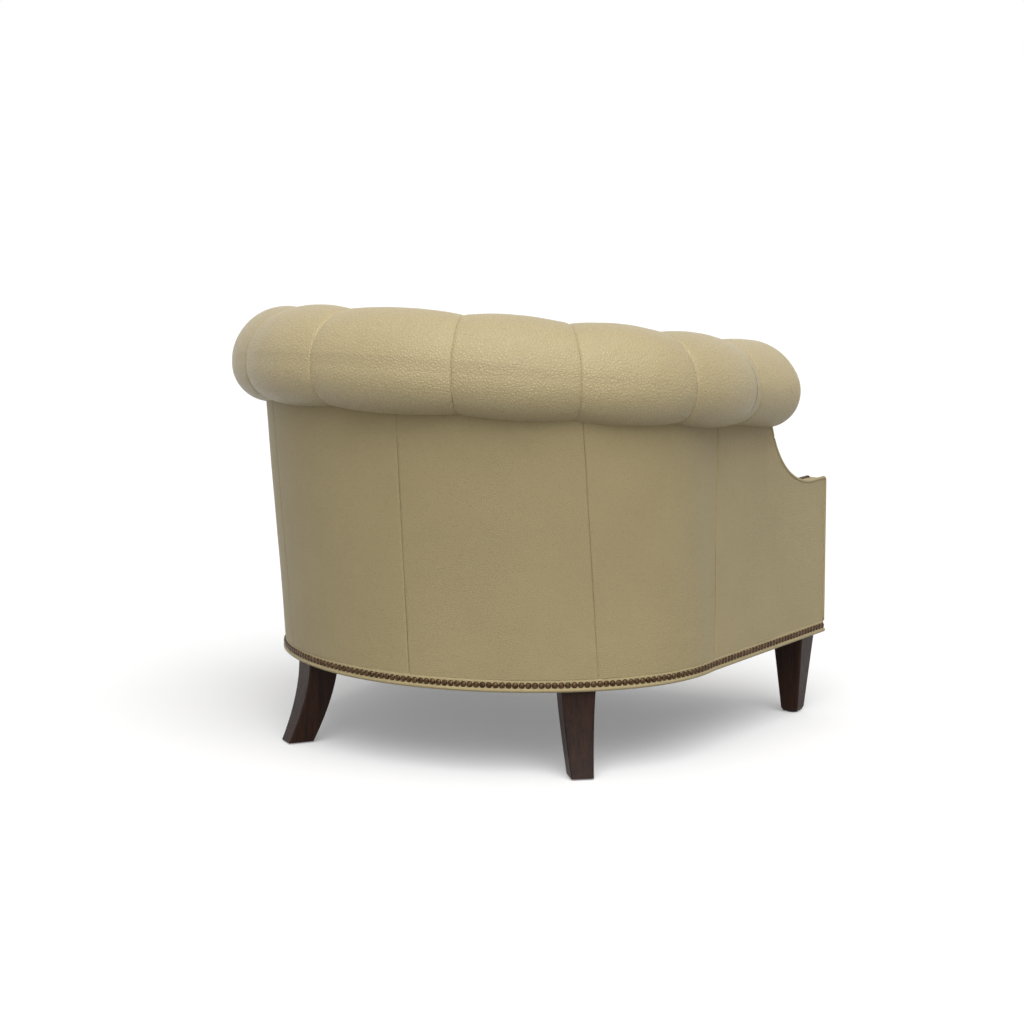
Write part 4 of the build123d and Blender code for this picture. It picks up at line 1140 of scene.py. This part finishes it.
def seat_cushion():
    """Crowned T cushion, blown up by cloth pressure, with welts round its top and bottom edges."""
    low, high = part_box("seat_cushion")
    source = NODES["seat_cushion"].data.copy()
    cushion = bpy.data.objects.new("cushion_pad", source)
    bpy.context.scene.collection.objects.link(cushion)
    soften(cushion, CUSHION_VOXEL, CUSHION_SMOOTHING)
    rest = [vertex.co.copy() for vertex in cushion.data.vertices]
    blow_up(cushion)
    middle = (low.z + high.z) / 2
    for vertex, start in zip(cushion.data.vertices, rest):
        moved = vertex.co - start
        side = Vector((moved.x, moved.y, 0))
        if side.length > MOST_SIDE_SWELL:
            side *= MOST_SIDE_SWELL / side.length
        lift = min(max(moved.z, -MOST_CROWN_DROP), MOST_CROWN_RISE) if start.z > middle else 0.0
        vertex.co = start + side + lift * UP
        if vertex.co.z > middle:
            vertex.co.z += lumps(start, CUSHION_WAVES)
    subdivide = cushion.modifiers.new("fine", "SUBSURF")
    subdivide.levels = 1
    subdivide.render_levels = 1
    apply_modifiers(cushion)
    dress(cushion, "cushion_leather", "seat_cushion", body=CUSHION)
    heights = {"cushion_welt_top": high.z - TOP_WELT_DROP, "cushion_welt_bottom": low.z + BOTTOM_WELT_RISE}
    for name, height in heights.items():
        welt = new_piece(name, *tube(welt_line(cushion, height), CUSHION_WELT, closed=True))
        dress(welt, "cushion_leather", body=CUSHION)


def welt_line(pad, height):
    """A level line round the cushion, found on its swollen side."""
    corners = [vertex.co for vertex in pad.data.vertices]
    side = BVHTree.FromPolygons(corners, [face.vertices for face in pad.data.polygons])
    outline = cushion_line(0.0)
    line = []
    for index, point in enumerate(outline):
        along = outline[(index + 1) % len(outline)] - outline[index - 1]
        outward = Vector((along.y, -along.x, 0)).normalized()
        hit = side.ray_cast(point + outward * CUSHION_CORNER + height * UP, -outward)[0]
        if hit is not None:
            line.append(hit)
    for _ in range(WELT_SMOOTHING):
        ahead = line[1:] + line[:1]
        behind = line[-1:] + line[:-1]
        line = [(before + 2 * spot + after) / 4 for before, spot, after in zip(behind, line, ahead)]
    return line


def blow_up(piece):
    """Swells a closed mesh with cloth pressure and keeps the result."""
    cloth_modifier = piece.modifiers.new("cloth", "CLOTH")
    settings = cloth_modifier.settings
    settings.use_pressure = True
    settings.uniform_pressure_force = CUSHION_PRESSURE
    settings.effector_weights.gravity = 0.0
    scene = bpy.context.scene
    for number in range(1, CLOTH_FRAMES + 1):
        scene.frame_set(number)
    apply_modifiers(piece)
    scene.frame_set(1)


def seat_front():
    """Padded border under the cushion and the cloth deck that it rests on."""
    low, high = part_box("front_border")
    corners = ((low.x, low.z), (high.x, low.z), (high.x, high.z), (low.x, high.z))
    outline = [Vector((x, high.y, z)) for x, z in corners]
    border = padded_block("front_panel", outline, Vector((0, -1, 0)), high.y - low.y,
                          BORDER_ROUNDING, BORDER_VOXEL, FLAT_SMOOTHING)
    unevenness(border, BORDER_WAVES)
    dress(border, "panel_leather", "front_border")
    low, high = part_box("deck_pad")
    outline = [point + low.z * UP for point in cushion_line(DECK_INSET)]
    deck = padded_block("seat_deck", outline, UP, high.z - low.z, DECK_ROUNDING, DECK_VOXEL, FLAT_SMOOTHING)
    unevenness(deck, DECK_WAVES)
    for vertex in deck.data.vertices:
        vertex.co.z = min(vertex.co.z, high.z)
    dress(deck, "deck_cloth", "deck_pad")


# Studio

SKY_LEVEL = 0.42
LAMP_SPREAD = radians(60)
KEY_LEVEL = 2.25
KEY_WAY = Vector((0.33, -0.42, -0.845))
FILL_LEVEL = 0.92
FILL_WAY = Vector((0.43, -0.85, -0.28))
FLOOR_REACH = 60.0
FLOOR_COLOUR = 0.80
FLOOR_SPECKLE = 0.01
FLOOR_BOUNCE = 0.22
FLOOR_GLOW = 0.20


def seen_rays(tree):
    """A value of 1 for rays that show the background to the camera, directly or by reflection."""
    path = tree.nodes.new("ShaderNodeLightPath")
    seen = path.outputs["Is Camera Ray"]
    for ray in ("Is Glossy Ray", "Is Transmission Ray"):
        either = tree.nodes.new("ShaderNodeMath")
        either.operation = "MAXIMUM"
        tree.links.new(seen, either.inputs[0])
        tree.links.new(path.outputs[ray], either.inputs[1])
        seen = either.outputs["Value"]
    return seen


def floor_paint():
    """Pale matt floor that shows white, keeps its shadows and throws little light back."""
    paint = Finish("floor_paint")
    seen = seen_rays(paint.tree)
    speckle = paint.noise(3.0, 2.0)
    pale = paint.ramp(speckle, (0.3, (FLOOR_COLOUR,) * 3), (0.7, (FLOOR_COLOUR + FLOOR_SPECKLE,) * 3))
    colour = paint.mix(seen, (FLOOR_BOUNCE, FLOOR_BOUNCE, FLOOR_BOUNCE, 1), pale)
    glow = paint.math("MULTIPLY", seen, FLOOR_GLOW)
    paint.set(Base_Color=colour, Emission_Strength=glow, Emission_Color=(1, 1, 1, 1))
    paint.set(Roughness=0.9, Specular_IOR_Level=0.1)
    return paint.material


def studio():
    """White floor to the horizon, an even sky, and a soft key and fill lamp behind the photo's camera."""
    scene = bpy.context.scene
    scene.view_settings.view_transform = "Standard"
    corners = [Vector((FLOOR_REACH * x, FLOOR_REACH * y, 0)) for x, y in ((-1, -1), (1, -1), (1, 1), (-1, 1))]
    floor = new_piece("floor", corners, [(0, 1, 2, 3)])
    floor.data.materials.append(floor_paint())
    world = bpy.data.worlds.new("studio")
    scene.world = world
    world.use_nodes = True
    tree = world.node_tree
    sky = tree.nodes["Background"]
    level = tree.nodes.new("ShaderNodeMapRange")
    level.inputs["To Min"].default_value = SKY_LEVEL
    level.inputs["To Max"].default_value = 1.0
    tree.links.new(seen_rays(tree), level.inputs["Value"])
    tree.links.new(level.outputs["Result"], sky.inputs["Strength"])
    sky.inputs["Color"].default_value = (1, 1, 1, 1)
    for name, strength, way in (("key", KEY_LEVEL, KEY_WAY), ("fill", FILL_LEVEL, FILL_WAY)):
        lamp = bpy.data.lights.new(name, "SUN")
        lamp.energy = strength
        lamp.angle = LAMP_SPREAD
        holder = bpy.data.objects.new(name, lamp)
        holder.rotation_euler = way.to_track_quat("-Z", "Y").to_euler()
        scene.collection.objects.link(holder)


LENS = 112.5
CAMERA_PLACE = (-2.7205, 5.0696, 1.3414)
CAMERA_PITCH = radians(9.204)
CAMERA_HEADING = radians(208.012)


def camera():
    eye = bpy.data.cameras.new("photo_camera")
    eye.lens = LENS
    eye.sensor_width = 36.0
    eye.clip_end = 200.0
    holder = bpy.data.objects.new("photo_camera", eye)
    holder.location = CAMERA_PLACE
    holder.rotation_euler = (pi / 2 - CAMERA_PITCH, 0, CAMERA_HEADING)
    bpy.context.scene.collection.objects.link(holder)
    bpy.context.scene.camera = holder


dress_frame()
channels()
roll_facings()
outside_panels()
outside_arms()
arm_covers()
base_band()
base_nails()
arm_nails()
seam_stitches()
seat_cushion()
seat_front()
studio()
camera()
